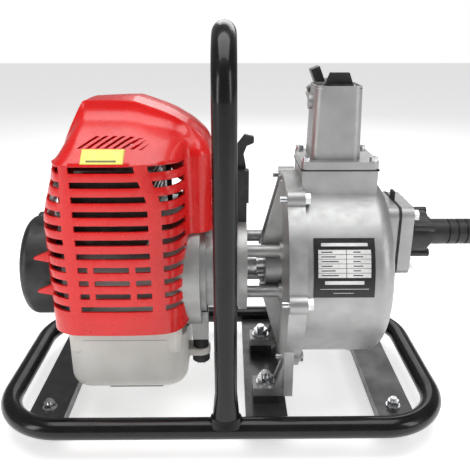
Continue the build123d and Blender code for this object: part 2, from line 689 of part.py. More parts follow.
# ---------------------------------------------------------------- covers
def cowl_outline():
    """Front view of the muffler cover, clockwise from the lower left corner."""
    return [
        (CYLINDER_X - 54, COWL_BOTTOM_Z),
        (CYLINDER_X - 57, COWL_BROW_Z - 26),
        (CYLINDER_X - 49, COWL_BROW_Z + 8),
        (CYLINDER_X - 24, COWL_TOP_Z),
        (CYLINDER_X + 22, COWL_TOP_Z),
        (CYLINDER_X + 40, COWL_TOP_Z - 7),
        (CYLINDER_X + 72, COWL_TOP_Z - 25),
        (COWL_COLUMN_X - 2, COWL_TOP_Z - 40),
        (COWL_COLUMN_X, COWL_TOP_Z - 57),
        (COWL_COLUMN_X - 1, COWL_COLUMN_Z),
        (COWL_STEP_X, COWL_COLUMN_Z),
        (COWL_STEP_X, COWL_BOTTOM_Z),
    ]


def cowl_side_outline():
    """Side view: the near wall leans back above the brow, up to the ridge at the seam."""
    return [
        (COWL_NEAR_Y, COWL_BOTTOM_Z),
        (COWL_NEAR_Y, COWL_BROW_Z),
        (COWL_SEAM_Y - 20, COWL_TOP_Z - 29),
        (COWL_SEAM_Y - 7, COWL_TOP_Z - 14),
        (COWL_SEAM_Y - 2, COWL_TOP_Z),
        (COWL_SEAM_Y + 24, COWL_TOP_Z - 1),
        (COWL_FAR_Y, COWL_TOP_Z - 9),
        (COWL_FAR_Y, COWL_BOTTOM_Z),
    ]


def cowl_plan_outline():
    """Top view: two near corners are broken, and the right one falls back to the column."""
    left = CYLINDER_X - 58
    return [
        (left, COWL_FAR_Y),
        (left, COWL_NEAR_Y + 22),
        (left + 7, COWL_NEAR_Y + 8),
        (left + 21, COWL_NEAR_Y),
        (CYLINDER_X + 37, COWL_NEAR_Y),
        (CYLINDER_X + 53, COWL_NEAR_Y + 8),
        (CYLINDER_X + 64, COWL_NEAR_Y + 26),
        (CYLINDER_X + 71, COWL_NEAR_Y + 38),
        (COWL_COLUMN_X + 2, COWL_SEAM_Y - 6),
        (COWL_COLUMN_X + 2, COWL_FAR_Y),
    ]


def cowl_body(inset):
    """What the three outlines share, with every wall set in by an amount."""
    front = fillet(side_view(cowl_outline()).vertices(), COWL_CORNER)
    side = make_face(Polyline(*[(0, y, z) for y, z in cowl_side_outline()], close=True))
    plan = make_face(Polyline(*[(x, y, 0) for x, y in cowl_plan_outline()], close=True))
    if inset:
        front, side, plan = [offset(face, -inset) for face in (front, side, plan)]
    body = depth(front, COWL_NEAR_Y, COWL_FAR_Y)
    left = CYLINDER_X - 60
    body &= Pos(left, 0, 0) * extrude(side, COWL_COLUMN_X + 5 - left, dir=(1, 0, 0))
    return body & extrude(plan, COWL_TOP_Z + 1, dir=(0, 0, 1))


COWL_SHELL = cowl_body(0) - cowl_body(SHELL)


def cowl_part(y_from, y_to):
    reach = CYLINDER_X - 60
    return COWL_SHELL & block(reach, -reach, y_from, y_to, COWL_BOTTOM_Z - 1, COWL_TOP_Z + 1)


def slot_rows():
    return [SLOT_LOW_Z + row * SLOT_PITCH for row in range(SLOT_ROWS)]


def front_cowl():
    shell = cowl_part(COWL_NEAR_Y - 1, COWL_SEAM_Y)
    near = COWL_NEAR_Y - 1
    for z in slot_rows():
        top = z + SLOT_HIGH
        main = block(CYLINDER_X - 30, CYLINDER_X + 28, near, COWL_NEAR_Y + SHELL + 5, z, top)
        corner = block(CYLINDER_X - 60, CYLINDER_X - 39, near, COWL_NEAR_Y + 20, z, top)
        side = block(CYLINDER_X + 40, CYLINDER_X + 66, near, COWL_NEAR_Y + 28, z, top)
        shell -= main + corner + side
    shell -= rod_x(STARTER_DIA / 2 + COWL_GAP, STARTER_LEFT_X, CYLINDER_X - 20)
    return shell - rod_x(FAN_HOUSING_DIA / 2 + COWL_GAP, FAN_LEFT_X - 2, ADAPTOR_FACE_X)


def top_cowl():
    """The cover behind the seam, which leaves the crankcase and the tank side open."""
    shell = cowl_part(COWL_SEAM_Y + BODY_GAP, COWL_FAR_Y)
    left, right = CYLINDER_X - 80, CYLINDER_X + 95
    low = SHAFT_HEIGHT + FAN_HOUSING_DIA / 2 + 8
    shell -= block(left, right, COWL_SEAM_Y - 1, COWL_FAR_Y + 1, COWL_BOTTOM_Z - 9, low)
    port = block(CYLINDER_X - 22, CYLINDER_X + 22, COWL_FAR_Y - 6, COWL_FAR_Y + 1, low - 1, INTAKE_Z + 30)
    shell -= port
    cutout = rod_y(BUTTON_RADIUS + RUNNING_PLAY, COWL_FAR_Y - 6, COWL_FAR_Y + 1, SWITCH_X, SWITCH_Z)
    return shell - cutout


SWITCH_X = CYLINDER_X + 50
SWITCH_Z = COWL_TOP_Z - 43
BUTTON_RADIUS = 6.0


def stop_button():
    button = rod_y(BUTTON_RADIUS, COWL_FAR_Y - 8, COWL_FAR_Y + 6, SWITCH_X, SWITCH_Z)
    return button + rod_y(BUTTON_RADIUS + 2, COWL_FAR_Y - 10, COWL_FAR_Y - 7, SWITCH_X, SWITCH_Z)


# ---------------------------------------------------------------- fuel system
CAP_X = CYLINDER_X - 20
CAP_Z = TANK_BOTTOM_Z + TANK_HIGH / 2
SPOUT_FAR_Y = TANK_FAR_Y + 12
SPOUT_RADIUS = CAP_DIA / 2 - 4
CAP_WASHER = 1.2


def tank_shape(inset):
    left, right = TANK_LEFT_X + inset, TANK_RIGHT_X - inset
    near, far = TANK_NEAR_Y + inset, TANK_FAR_Y - inset
    shape = block(left, right, near, far, TANK_BOTTOM_Z + inset, TANK_TOP_Z - inset)
    shape = fillet(shape.edges().filter_by(Axis.Z), 22 - inset)
    shape = fillet(shape.edges().group_by(Axis.Z)[0], 14 - inset)
    recess = FAN_HOUSING_DIA / 2 + 2 + inset
    return shape - rod_x(recess, FAN_LEFT_X - 2 - inset, TANK_RIGHT_X + 1)


EAR_X = TANK_RIGHT_X + 12
EAR_Y = -22.0
EAR_TOP_Z = TANK_BOTTOM_Z + 26


def fuel_tank():
    tank = tank_shape(0)
    tank += rod_y(SPOUT_RADIUS, TANK_FAR_Y - 4, SPOUT_FAR_Y, CAP_X, CAP_Z)
    ear = block(TANK_RIGHT_X - 6, EAR_X, EAR_Y - 10, EAR_Y + 10, EAR_TOP_Z - 7, EAR_TOP_Z)
    tank += ear + rod_z(10, EAR_TOP_Z - 7, EAR_TOP_Z, EAR_X, EAR_Y)
    tank -= tank_shape(TANK_WALL)
    tank -= rod_y(SPOUT_RADIUS - 2.5, TANK_FAR_Y - 4, SPOUT_FAR_Y, CAP_X, CAP_Z)
    tank -= rod_z(BOLT / 2, EAR_TOP_Z - 7, EAR_TOP_Z, EAR_X, EAR_Y)
    return tank - rod_z(2.6, TANK_TOP_Z - 5, TANK_TOP_Z, LINE_X, LINE_Y)


def fuel_cap():
    cap = rod_y(CAP_DIA / 2, TANK_FAR_Y + BODY_GAP, SPOUT_FAR_Y + 5, CAP_X, CAP_Z)
    cap -= rod_y(SPOUT_RADIUS + RUNNING_PLAY, TANK_FAR_Y, SPOUT_FAR_Y + CAP_WASHER, CAP_X, CAP_Z)
    grip = block(CAP_X - CAP_DIA / 2 + 3, CAP_X + CAP_DIA / 2 - 3, SPOUT_FAR_Y + 5, SPOUT_FAR_Y + 13,
                 CAP_Z - 3, CAP_Z + 3)
    return cap + grip


def cap_washer():
    ring = rod_y(SPOUT_RADIUS - 0.2, SPOUT_FAR_Y, SPOUT_FAR_Y + CAP_WASHER, CAP_X, CAP_Z)
    return ring - rod_y(SPOUT_RADIUS - 2.5, SPOUT_FAR_Y, SPOUT_FAR_Y + CAP_WASHER, CAP_X, CAP_Z)


def tank_pad():
    left, right = TANK_LEFT_X + 36, TANK_RIGHT_X - 26
    return block(left, right, TANK_NEAR_Y + 18, TANK_FAR_Y - 18, TANK_BOTTOM_Z - 7, TANK_BOTTOM_Z)




def tank_lug():
    """A lug below the fan housing that the tank ear hangs from."""
    lug = block(EAR_X - 8, EAR_X + 8, EAR_Y - 10, EAR_Y + 10, EAR_TOP_Z + 12, SHAFT_HEIGHT - 40)
    lug -= rod_x(FAN_HOUSING_DIA / 2, FAN_LEFT_X, FAN_RIGHT_X)
    lug -= rod_x(CLUTCH_CASE_RADIUS + 6, FAN_RIGHT_X, FAN_RIGHT_X + 5)
    lug -= rod_x(CLUTCH_CASE_RADIUS, FAN_RIGHT_X, ADAPTOR_FACE_X)
    lug = lug.solids().sort_by(Axis.Z)[0]
    return lug - rod_z(BOLT / 2, EAR_TOP_Z + 12, EAR_TOP_Z + 22, EAR_X, EAR_Y)


def tank_bushes():
    upper = rod_z(8, EAR_TOP_Z, EAR_TOP_Z + 12, EAR_X, EAR_Y)
    lower = rod_z(9, EAR_TOP_Z - 16, EAR_TOP_Z - 7, EAR_X, EAR_Y)
    bore = rod_z(BOLT / 2, EAR_TOP_Z - 16, EAR_TOP_Z + 12, EAR_X, EAR_Y)
    return [upper - bore, lower - bore]


def tank_bolt():
    shank = rod_z(BOLT / 2, EAR_TOP_Z - 16, EAR_TOP_Z + 22, EAR_X, EAR_Y)
    return shank + hex_z(BOLT * 1.65, EAR_TOP_Z - 20, EAR_TOP_Z - 16, EAR_X, EAR_Y)


LINE_X = CYLINDER_X + 26
LINE_Y = TANK_FAR_Y - 12


def fuel_line():
    top = INTAKE_Z + 6
    path = FilletPolyline(
        (LINE_X, LINE_Y, TANK_TOP_Z - 10),
        (LINE_X, LINE_Y, TANK_TOP_Z + 30),
        (LINE_X, CARB_MID_Y, TANK_TOP_Z + 70),
        (LINE_X, CARB_MID_Y, top),
        (CYLINDER_X + 17, CARB_MID_Y, top),
        radius=5,
    )
    return sweep((path ^ 0) * Circle(2.5), path)


# ---------------------------------------------------------------- throttle
LEVER_X = ADAPTOR_FACE_X - 4
LEVER_PIVOT_Z = SHAFT_HEIGHT + 92
LEVER_NEAR_Y = 6.0


def throttle_bracket():
    low = SHAFT_HEIGHT + ADAPTOR_DIA / 2 - 3
    post = block(LEVER_X - 6, LEVER_X + 4, -6, 6, low, LEVER_PIVOT_Z - 8)
    post += block(LEVER_X - 7, LEVER_X + 6, -6, 6, LEVER_PIVOT_Z - 26, LEVER_PIVOT_Z + 6)
    post -= rod_x(ADAPTOR_DIA / 2, ADAPTOR_FACE_X - 8.5, ADAPTOR_FACE_X + 5)
    post += rod_y(3, 6, LEVER_NEAR_Y + 8, LEVER_X, LEVER_PIVOT_Z)
    return post


def throttle_lever():
    outline = [
        (LEVER_X - 6, LEVER_PIVOT_Z - 7),
        (LEVER_X + 5, LEVER_PIVOT_Z - 7),
        (LEVER_X + 3, LEVER_PIVOT_Z + 10),
        (LEVER_X + 1, LEVER_PIVOT_Z + 20),
        (LEVER_X + 4, LEVER_PIVOT_Z + 28),
        (LEVER_X + 11, LEVER_PIVOT_Z + 31),
        (LEVER_X + 11, LEVER_PIVOT_Z + 37),
        (LEVER_X + 2, LEVER_PIVOT_Z + 39),
        (LEVER_X - 5, LEVER_PIVOT_Z + 30),
    ]
    face = fillet(side_view(outline).vertices(), 1.5)
    near = LEVER_NEAR_Y + BODY_GAP
    lever = depth(face, near, near + 6)
    return lever - rod_y(3 + RUNNING_PLAY, near, near + 6, LEVER_X, LEVER_PIVOT_Z)


# ---------------------------------------------------------------- pump bracket
FOOT_BLOCKS = (-60.0, 33.0)
FOOT_BOLT_X = MID_PLATE_X
FOOT_TOP_Z = 47.0
FOOT_UNDER_Z = 38.5
HUB_RADIUS = 21.0


def lobed_disc(x_from, x_to, radius):
    disc = rod_x(radius, x_from, x_to)
    for y, z in around(LOBE_COUNT, LOBE_CIRCLE):
        disc += rod_x(LOBE_RADIUS, x_from, x_to, y, SHAFT_HEIGHT + z)
    return disc


def pump_bracket():
    left = JOINT_X - BRACKET_THICK
    bracket = lobed_disc(left, JOINT_X, FLANGE_RADIUS)
    hub_left = ADAPTOR_FACE_X + 19
    bracket += rod_x(HUB_RADIUS, hub_left, left)
    for y, z in STANDOFF_PLACES:
        bracket += rod_x(STANDOFF_DIA / 2 + 3, STANDOFF_END_X, left, y, SHAFT_HEIGHT + z)
    for side in (-1, 1):
        upper = side_view([(left, SHAFT_HEIGHT + 18), (left, SHAFT_HEIGHT + 90),
                           (left - 3, SHAFT_HEIGHT + 90), (hub_left - 6, SHAFT_HEIGHT + 18)])
        lower = side_view([(left, SHAFT_HEIGHT - 18), (hub_left - 6, SHAFT_HEIGHT - 18),
                           (left - 3, SHAFT_HEIGHT - 86), (left, SHAFT_HEIGHT - 86)])
        web = depth(upper, -2.5, 2.5) + depth(lower, -2.5, 2.5)
        bracket += Pos(0, side * 10, 0) * web
    skirt = block(left, JOINT_X, FOOT_BLOCKS[0] - 12, FOOT_BLOCKS[1] + 30, FOOT_UNDER_Z, SHAFT_HEIGHT - 60)
    bracket += skirt
    for y in FOOT_BLOCKS:
        foot = block(FOOT_BOLT_X - 12, left, y - 11, y + 11, FOOT_UNDER_Z, FOOT_TOP_Z)
        rib = side_view([(left, FOOT_TOP_Z), (left - 9, FOOT_TOP_Z), (left, FOOT_TOP_Z + 26)])
        bracket += foot + depth(rib, y - 10, y - 6) + depth(rib, y + 5, y + 9)
        bracket -= rod_z(BIG_BOLT / 2 + HOLE_PLAY, FOOT_UNDER_Z, FOOT_TOP_Z, FOOT_BOLT_X, y)
    bracket -= rod_x(SHAFT_DIA / 2 + 1, hub_left, JOINT_X)
    bracket -= rod_x(SEAL_RADIUS, JOINT_X - 12, JOINT_X)
    bracket -= rod_x(PUMP_BEARING_RADIUS, hub_left, hub_left + 11)
    for y, z in around(LOBE_COUNT, LOBE_CIRCLE):
        bracket -= rod_x(BOLT / 2 + HOLE_PLAY, left, JOINT_X, y, SHAFT_HEIGHT + z)
    return bracket


SEAL_RADIUS = 14.0
PUMP_BEARING_RADIUS = 16.0


def pump_bearing():
    left = ADAPTOR_FACE_X + 19
    ring = rod_x(PUMP_BEARING_RADIUS, left, left + 11)
    return ring - rod_x(SHAFT_DIA / 2 + RUNNING_PLAY, left, left + 11)


def bracket_isolators():
    pads = []
    for y in FOOT_BLOCKS:
        pad = block(FOOT_BOLT_X - 12, FOOT_BOLT_X + 12, y - 12, y + 12, PLATE_TOP_Z, FOOT_UNDER_Z)
        pads.append(pad - rod_z(BIG_BOLT / 2, PLATE_TOP_Z, FOOT_UNDER_Z, FOOT_BOLT_X, y))
    return pads


def bracket_bolts():
    bolts = []
    for y in FOOT_BLOCKS:
        bolt = topped_stud(FOOT_BOLT_X, y, PLATE_UNDER_Z - 5, FOOT_TOP_Z, BIG_BOLT, 4.0)
        head = hex_z(BIG_BOLT * 1.65, PLATE_UNDER_Z - 6, PLATE_UNDER_Z, FOOT_BOLT_X, y)
        bolts.append(bolt + head)
    return bolts


# ---------------------------------------------------------------- pump inside
SHAFT_END_X = JOINT_X + 26


def pump_shaft():
    return rod_x(SHAFT_DIA / 2, DRUM_WEB_X - 3, SHAFT_END_X)


def seal_ring():
    left, right = JOINT_X - 6.7, JOINT_X + 3
    return rod_x(SEAL_RADIUS - 2, left, right) - rod_x(SHAFT_DIA / 2, left, right)


def impeller():
    left = JOINT_X + 5
    outer = IMPELLER_DIA / 2
    wheel = rod_x(outer, left, left + 4) + rod_x(12, left, left + 16)
    line = Axis((0, 0, SHAFT_HEIGHT), (1, 0, 0))
    blade = block(left + 4, left + 14, -1.5, 1.5, SHAFT_HEIGHT + 11, SHAFT_HEIGHT + outer - 4)
    blade = blade.rotate(Axis((0, 0, SHAFT_HEIGHT + 11), (1, 0, 0)), 18)
    wheel += [blade.rotate(line, 360 * step / 6) for step in range(6)]
    wheel = wheel & rod_x(outer, left, left + 16)
    return wheel - rod_x(SHAFT_DIA / 2, left, left + 16)


def impeller_nut():
    left = JOINT_X + 21
    return hex_x(22, left, left + 7, 0, SHAFT_HEIGHT) - rod_x(SHAFT_DIA / 2, left, SHAFT_END_X)


VOLUTE_RIGHT_X = JOINT_X + 33
EYE_RADIUS = 18.0


def volute():
    radius = IMPELLER_DIA / 2
    body = rod_x(radius + 14, JOINT_X, VOLUTE_RIGHT_X)
    body -= rod_x(radius + 2, JOINT_X, VOLUTE_RIGHT_X - 5)
    body += rod_x(EYE_RADIUS + 4, VOLUTE_RIGHT_X - 5, VOLUTE_RIGHT_X + 12)
    body -= rod_x(EYE_RADIUS, VOLUTE_RIGHT_X - 5, VOLUTE_RIGHT_X + 12)
    return body - block(JOINT_X + 3, VOLUTE_RIGHT_X - 5, 10, 30, SHAFT_HEIGHT + 30, SHAFT_HEIGHT + radius + 16)


# ---------------------------------------------------------------- pump casing
NECK_X = JOINT_X + 6 + NECK_LENGTH / 2
PAD_FACE_X = CASING_END_X + 11
PORT_CORNERS = four_corners(PORT_BOLT_PITCH / 2, PORT_BOLT_PITCH / 2)


def square_plate(x_from, x_to, size):
    outline = RectangleRounded(size, size, 9)
    return Pos(x_from, 0, PORT_Z) * Rot(0, 90, 0) * extrude(outline, x_to - x_from)


def pump_casing():
    barrel = rod_x(CASING_RADIUS, JOINT_X, CASING_END_X)
    barrel = fillet(barrel.edges().sort_by(Axis.X)[-1], 15)
    neck = block(NECK_X - NECK_LENGTH / 2, NECK_X + NECK_LENGTH / 2, -NECK_DEPTH / 2, NECK_DEPTH / 2,
                 SHAFT_HEIGHT, NECK_TOP_Z)
    casing = barrel + neck + lobed_disc(JOINT_X, JOINT_X + FLANGE_THICK, FLANGE_RADIUS)
    casing += square_plate(CASING_END_X - 14, PAD_FACE_X, PORT_SQUARE)
    inner = rod_x(CASING_RADIUS - CASING_WALL, JOINT_X, CASING_END_X - CASING_WALL)
    inner += block(NECK_X - NECK_LENGTH / 2 + 7, NECK_X + NECK_LENGTH / 2 - 7,
                   7 - NECK_DEPTH / 2, NECK_DEPTH / 2 - 7, SHAFT_HEIGHT, NECK_TOP_Z)
    wall_x = VOLUTE_RIGHT_X + 4
    radius = CASING_RADIUS - CASING_WALL
    wall = rod_x(radius, wall_x, wall_x + 5) - rod_x(EYE_RADIUS + 4, wall_x, wall_x + 5)
    casing = casing - inner + wall
    casing -= rod_x(FLAP_CHAMBER, CASING_END_X - 14, PAD_FACE_X, 0, PORT_Z)
    casing += rod_z(12, DRAIN_Z, DRAIN_Z + 12, DRAIN_X, 0)
    casing -= rod_z(BIG_BOLT / 2, DRAIN_Z, DRAIN_Z + 14, DRAIN_X, 0)
    for y, z in around(LOBE_COUNT, LOBE_CIRCLE):
        casing -= rod_x(BOLT / 2 + HOLE_PLAY, JOINT_X, JOINT_X + FLANGE_THICK, y, SHAFT_HEIGHT + z)
    for y, z in PORT_CORNERS:
        casing -= rod_x(BOLT / 2, PAD_FACE_X - 12, PAD_FACE_X, y, PORT_Z + z)
    for x, y in TOWER_BOLTS:
        casing -= rod_z(SMALL_BOLT / 2, NECK_TOP_Z - 10, NECK_TOP_Z, x, y)
    return casing


DRAIN_Z = SHAFT_HEIGHT - CASING_RADIUS - 6
DRAIN_X = JOINT_X + 68
FLAP_CHAMBER = 21.0
TOWER_BOLTS = [(NECK_X + x, y) for x, y in four_corners(NECK_LENGTH / 2 - 4, NECK_DEPTH / 2 - 4)]


def drain_plug():
    head = hex_z(BIG_BOLT * 1.65, DRAIN_Z - 6, DRAIN_Z, DRAIN_X, 0)
    return head + rod_z(BIG_BOLT / 2, DRAIN_Z, DRAIN_Z + 12, DRAIN_X, 0)


def casing_bolts():
    bolts = []
    left = JOINT_X - BRACKET_THICK
    right = JOINT_X + FLANGE_THICK
    for y, z in around(LOBE_COUNT, LOBE_CIRCLE):
        shank = rod_x(BOLT / 2, left - 6, right, y, SHAFT_HEIGHT + z)
        bolts.append(shank + hex_x(BOLT * 1.65, right, right + 5, y, SHAFT_HEIGHT + z))
    return bolts


LABEL_LENGTH = 54.0
LABEL_THICK = 0.8
LABEL_LOW = 2.5
LABEL_HIGH = 37.0


def label_plate():
    left = NECK_X - LABEL_LENGTH / 2 - 1
    band = rod_x(CASING_RADIUS + LABEL_THICK, left, left + LABEL_LENGTH)
    band -= rod_x(CASING_RADIUS, left, left + LABEL_LENGTH)
    reach = 2 * CASING_RADIUS
    def ray(degrees):
        turn = math.radians(degrees)
        return (-reach * math.cos(turn), SHAFT_HEIGHT + reach * math.sin(turn))
    wedge = make_face(Polyline(*[(left, *point) for point in
                                 ((0, SHAFT_HEIGHT), ray(LABEL_LOW), ray(LABEL_HIGH))], close=True))
    return band & extrude(wedge, LABEL_LENGTH, dir=(1, 0, 0))


# ---------------------------------------------------------------- tower and plugs
GASKET_THICK = 1.5
TOWER_FOOT_Z = NECK_TOP_Z + GASKET_THICK
TOWER_FOOT_THICK = 7.0
PLUG_RADIUS = 11.0
PLUG_X = TOWER_X + 2
PLUG_Y = -4.0
SPOUT_LEAN = 22.0
RIM_DEEP = 3.0


def tower_gasket():
    half_x, half_y = NECK_LENGTH / 2 + 1, NECK_DEPTH / 2 + 1
    sheet = block(NECK_X - half_x, NECK_X + half_x, -half_y, half_y, NECK_TOP_Z, TOWER_FOOT_Z)
    sheet -= block(NECK_X - half_x + 8, NECK_X + half_x - 8, 8 - half_y, half_y - 8, NECK_TOP_Z, TOWER_FOOT_Z)
    for x, y in TOWER_BOLTS:
        sheet -= rod_z(SMALL_BOLT / 2 + HOLE_PLAY, NECK_TOP_Z, TOWER_FOOT_Z, x, y)
    return sheet


def tower_block(inset, z_from, z_to):
    low = RectangleRounded(TOWER_LENGTH - 2 * inset, TOWER_DEPTH - 2 * inset, 8 - inset)
    high = RectangleRounded(TOWER_LENGTH - 4 - 2 * inset, TOWER_DEPTH - 4 - 2 * inset, 8 - inset)
    return loft(Sketch() + [Pos(TOWER_X, 0, z_from) * low, Pos(TOWER_X, 0, z_to) * high])


def leaning(shape):
    """Place a shape made about the Z axis on the rear port, which leans to the starter side."""
    return Pos(TOWER_X - 2, TOWER_DEPTH / 2 + 13, TOWER_TOP_Z - 22) * Rot(0, -SPOUT_LEAN, 0) * shape


def tower():
    half_x, half_y = NECK_LENGTH / 2 + 1, NECK_DEPTH / 2 + 1
    foot = block(NECK_X - half_x, NECK_X + half_x, -half_y, half_y, TOWER_FOOT_Z, TOWER_FOOT_Z + TOWER_FOOT_THICK)
    foot = fillet(foot.edges().filter_by(Axis.Z), 6)
    body = foot + tower_block(0, TOWER_FOOT_Z, TOWER_TOP_Z)
    body += leaning(Cylinder(PLUG_RADIUS + 5, 36))
    boss_x = TOWER_X - TOWER_LENGTH / 2
    body += rod_x(7, boss_x - 1.5, boss_x + 4, 0, TOWER_TOP_Z - 16)
    body -= tower_block(TOWER_WALL, TOWER_FOOT_Z, TOWER_TOP_Z - RIM_DEEP - 5)
    body -= tower_block(TOWER_WALL / 2, TOWER_TOP_Z - RIM_DEEP, TOWER_TOP_Z + 1)
    body -= rod_z(PLUG_RADIUS + RUNNING_PLAY, TOWER_TOP_Z - 12, TOWER_TOP_Z, PLUG_X, PLUG_Y)
    body -= leaning(Pos(0, 0, 10) * Cylinder(PLUG_RADIUS + RUNNING_PLAY, 20))
    body -= leaning(Pos(0, -14, 4) * Box(10, 24, 10))
    for x, y in TOWER_BOLTS:
        body -= rod_z(SMALL_BOLT / 2 + HOLE_PLAY, TOWER_FOOT_Z, TOWER_FOOT_Z + TOWER_FOOT_THICK, x, y)
    return body


def tower_bolts():
    bolts = []
    seat = TOWER_FOOT_Z + TOWER_FOOT_THICK
    for x, y in TOWER_BOLTS:
        shank = rod_z(SMALL_BOLT / 2, NECK_TOP_Z - 10, seat, x, y)
        head = rod_z(SMALL_BOLT, seat, seat + SMALL_BOLT, x, y)
        bolts.append(shank + head - hex_z(SMALL_BOLT * 0.8, seat + 1.5, seat + SMALL_BOLT, x, y))
    return bolts


def winged_plug(wing_thick, wing_base, wing_top, wing_high, wing_turn):
    """A screw plug about the Z axis, with its flange seated at Z = 0."""
    plug = Pos(0, 0, -3.5) * Cylinder(PLUG_RADIUS, 9) + Pos(0, 0, 2.5) * Cylinder(PLUG_RADIUS + 2.5, 3)
    half_base, half_top = wing_base / 2, wing_top / 2
    face = side_view([(-half_base, 3), (half_base, 3), (half_top, wing_high), (-half_top, wing_high)])
    wing = depth(face, -wing_thick / 2, wing_thick / 2)
    return plug + Rot(0, 0, wing_turn) * wing


def washer_ring():
    return Pos(0, 0, 0.5) * (Cylinder(PLUG_RADIUS + 2.5, 1) - Cylinder(PLUG_RADIUS + RUNNING_PLAY, 1))


def at_prime(shape):
    return Pos(PLUG_X, PLUG_Y, TOWER_TOP_Z - RIM_DEEP) * shape


def at_spout(shape):
    return leaning(Pos(0, 0, 18) * shape)


# ---------------------------------------------------------------- suction side
FLAP_SHEET = 2.5
FLANGE_OUT_X = PAD_FACE_X + FLAP_SHEET
NECK_END_X = FLANGE_OUT_X + 24
FLAP_RADIUS = 16.5


def flap_gasket():
    sheet = square_plate(PAD_FACE_X, FLANGE_OUT_X, PORT_SQUARE + 1)
    sheet += block(PAD_FACE_X, FLANGE_OUT_X, -5, 5, PORT_Z + PORT_SQUARE / 2 - 2, PORT_Z + PORT_SQUARE / 2 + 9)
    sheet -= rod_x(FLAP_CHAMBER, PAD_FACE_X, FLANGE_OUT_X, 0, PORT_Z)
    for y, z in PORT_CORNERS:
        sheet -= rod_x(BOLT / 2 + HOLE_PLAY, PAD_FACE_X, FLANGE_OUT_X, y, PORT_Z + z)
    return sheet


FLAP_THICK = 3.0
FLAP_X = FLANGE_OUT_X - BODY_GAP - FLAP_THICK / 2
FLAP_PIN_Z = PORT_Z + FLAP_RADIUS + 0.5


def check_flap():
    left, right = FLAP_X - FLAP_THICK / 2, FLAP_X + FLAP_THICK / 2
    flap = rod_x(FLAP_RADIUS, left, right, 0, PORT_Z) + rod_x(7, left - 3, left, 0, PORT_Z)
    return flap + rod_y(FLAP_THICK / 2, -8, 8, FLAP_X, FLAP_PIN_Z)


def suction_flange():
    plate = square_plate(FLANGE_OUT_X, FLANGE_OUT_X + 12, PORT_SQUARE)
    plate += rod_x(UNION_DIA / 2 - 5.5, FLANGE_OUT_X + 12, NECK_END_X, 0, PORT_Z)
    plate -= rod_x(HOSE_BORE / 2 + 2, FLANGE_OUT_X, NECK_END_X, 0, PORT_Z)
    for y, z in PORT_CORNERS:
        plate -= rod_x(BOLT / 2 + HOLE_PLAY, FLANGE_OUT_X, FLANGE_OUT_X + 12, y, PORT_Z + z)
    return plate


def port_bolts():
    bolts = []
    seat = FLANGE_OUT_X + 12
    for y, z in PORT_CORNERS:
        shank = rod_x(BOLT / 2, PAD_FACE_X - 12, seat, y, PORT_Z + z)
        washer = rod_x(BOLT, seat, seat + 1.2, y, PORT_Z + z)
        bolts.append(shank + washer + hex_x(BOLT * 1.65, seat + 1.2, seat + 5.5, y, PORT_Z + z))
    return bolts


UNION_LEFT_X = FLANGE_OUT_X + 14
UNION_RIGHT_X = NECK_END_X + 9
COLLAR_RADIUS = UNION_DIA / 2 - 5.5


def union_nut():
    nut = rod_x(UNION_DIA / 2, UNION_LEFT_X, UNION_RIGHT_X, 0, PORT_Z)
    for y, z in around(4, UNION_DIA / 2, 60):
        nut += rod_x(4, UNION_LEFT_X + 3, UNION_RIGHT_X + 4, y, PORT_Z + z)
    nut -= rod_x(COLLAR_RADIUS + RUNNING_PLAY, UNION_LEFT_X, NECK_END_X + 5, 0, PORT_Z)
    return nut - rod_x(HOSE_DIA / 2 + 2.4 + RUNNING_PLAY, UNION_LEFT_X, UNION_RIGHT_X + 4, 0, PORT_Z)


def hose_tail():
    tail = rod_x(COLLAR_RADIUS, NECK_END_X, NECK_END_X + 5 - RUNNING_PLAY, 0, PORT_Z)
    cone_end = UNION_RIGHT_X + 5
    tail += rod_x(HOSE_DIA / 2 + 2.4, NECK_END_X, cone_end, 0, PORT_Z)
    tail += rod_x(HOSE_DIA / 2, cone_end, HOSE_END_X, 0, PORT_Z)
    for row in range(3):
        groove = HOSE_END_X - 7 - row * 9
        ring = rod_x(HOSE_DIA / 2, groove, groove + 2, 0, PORT_Z)
        tail -= ring - rod_x(HOSE_DIA / 2 - 1.2, groove, groove + 2, 0, PORT_Z)
    return tail - rod_x(HOSE_BORE / 2, NECK_END_X, HOSE_END_X, 0, PORT_Z)


# ---------------------------------------------------------------- assembly
def frame_nodes():
    left_feet = [place for place in FOOT_PLACES if place[0] < 0]
    right_feet = [place for place in FOOT_PLACES if place[0] > 0]
    bracket_holes = [(FOOT_BOLT_X, y) for y in FOOT_BLOCKS]
    return {
        "left_cross_plate": cross_plate(-END_PLATE_X, PLATE_WIDTH, left_feet, BOLT),
        "middle_cross_plate": cross_plate(MID_PLATE_X, MID_PLATE_WIDTH, bracket_holes, BIG_BOLT),
        "right_cross_plate": cross_plate(END_PLATE_X, PLATE_WIDTH, right_feet, BOLT),
        "mount_bolts": group(foot_bolts() + bracket_bolts() + [tank_bolt()]),
        "rubber_feet": group(rubber_feet() + bracket_isolators() + tank_bushes() + [tank_pad()]),
    }


def grouped_nodes():
    """Nodes that hold several loose solids of one kind."""
    return {
        "bearings": group(crank_bearings() + [clutch_bearing(), pump_bearing()]),
        "crankshaft": group([crank_starter_half(), crank_drive_half(), starter_cup()]),
        "piston_pins": group([crankpin(), gudgeon_pin()]),
        "carburettor": group([carburettor(), intake_spacer(), air_filter_box()]),
        "pump_shaft": group([pump_shaft(), impeller_nut(), seal_ring()]),
        "pump_bolts": group(casing_bolts() + tower_bolts() + port_bolts() + [drain_plug()]),
        "pump_gaskets": group([tower_gasket(), flap_gasket()]),
        "prime_washer": at_prime(washer_ring()),
        "spout_washer": at_spout(washer_ring()),
        "prime_plug": at_prime(winged_plug(7, 25, 17, 13.5, 0)),
        "spout_plug": at_spout(winged_plug(9, 20, 18, 19, 90)),
    }


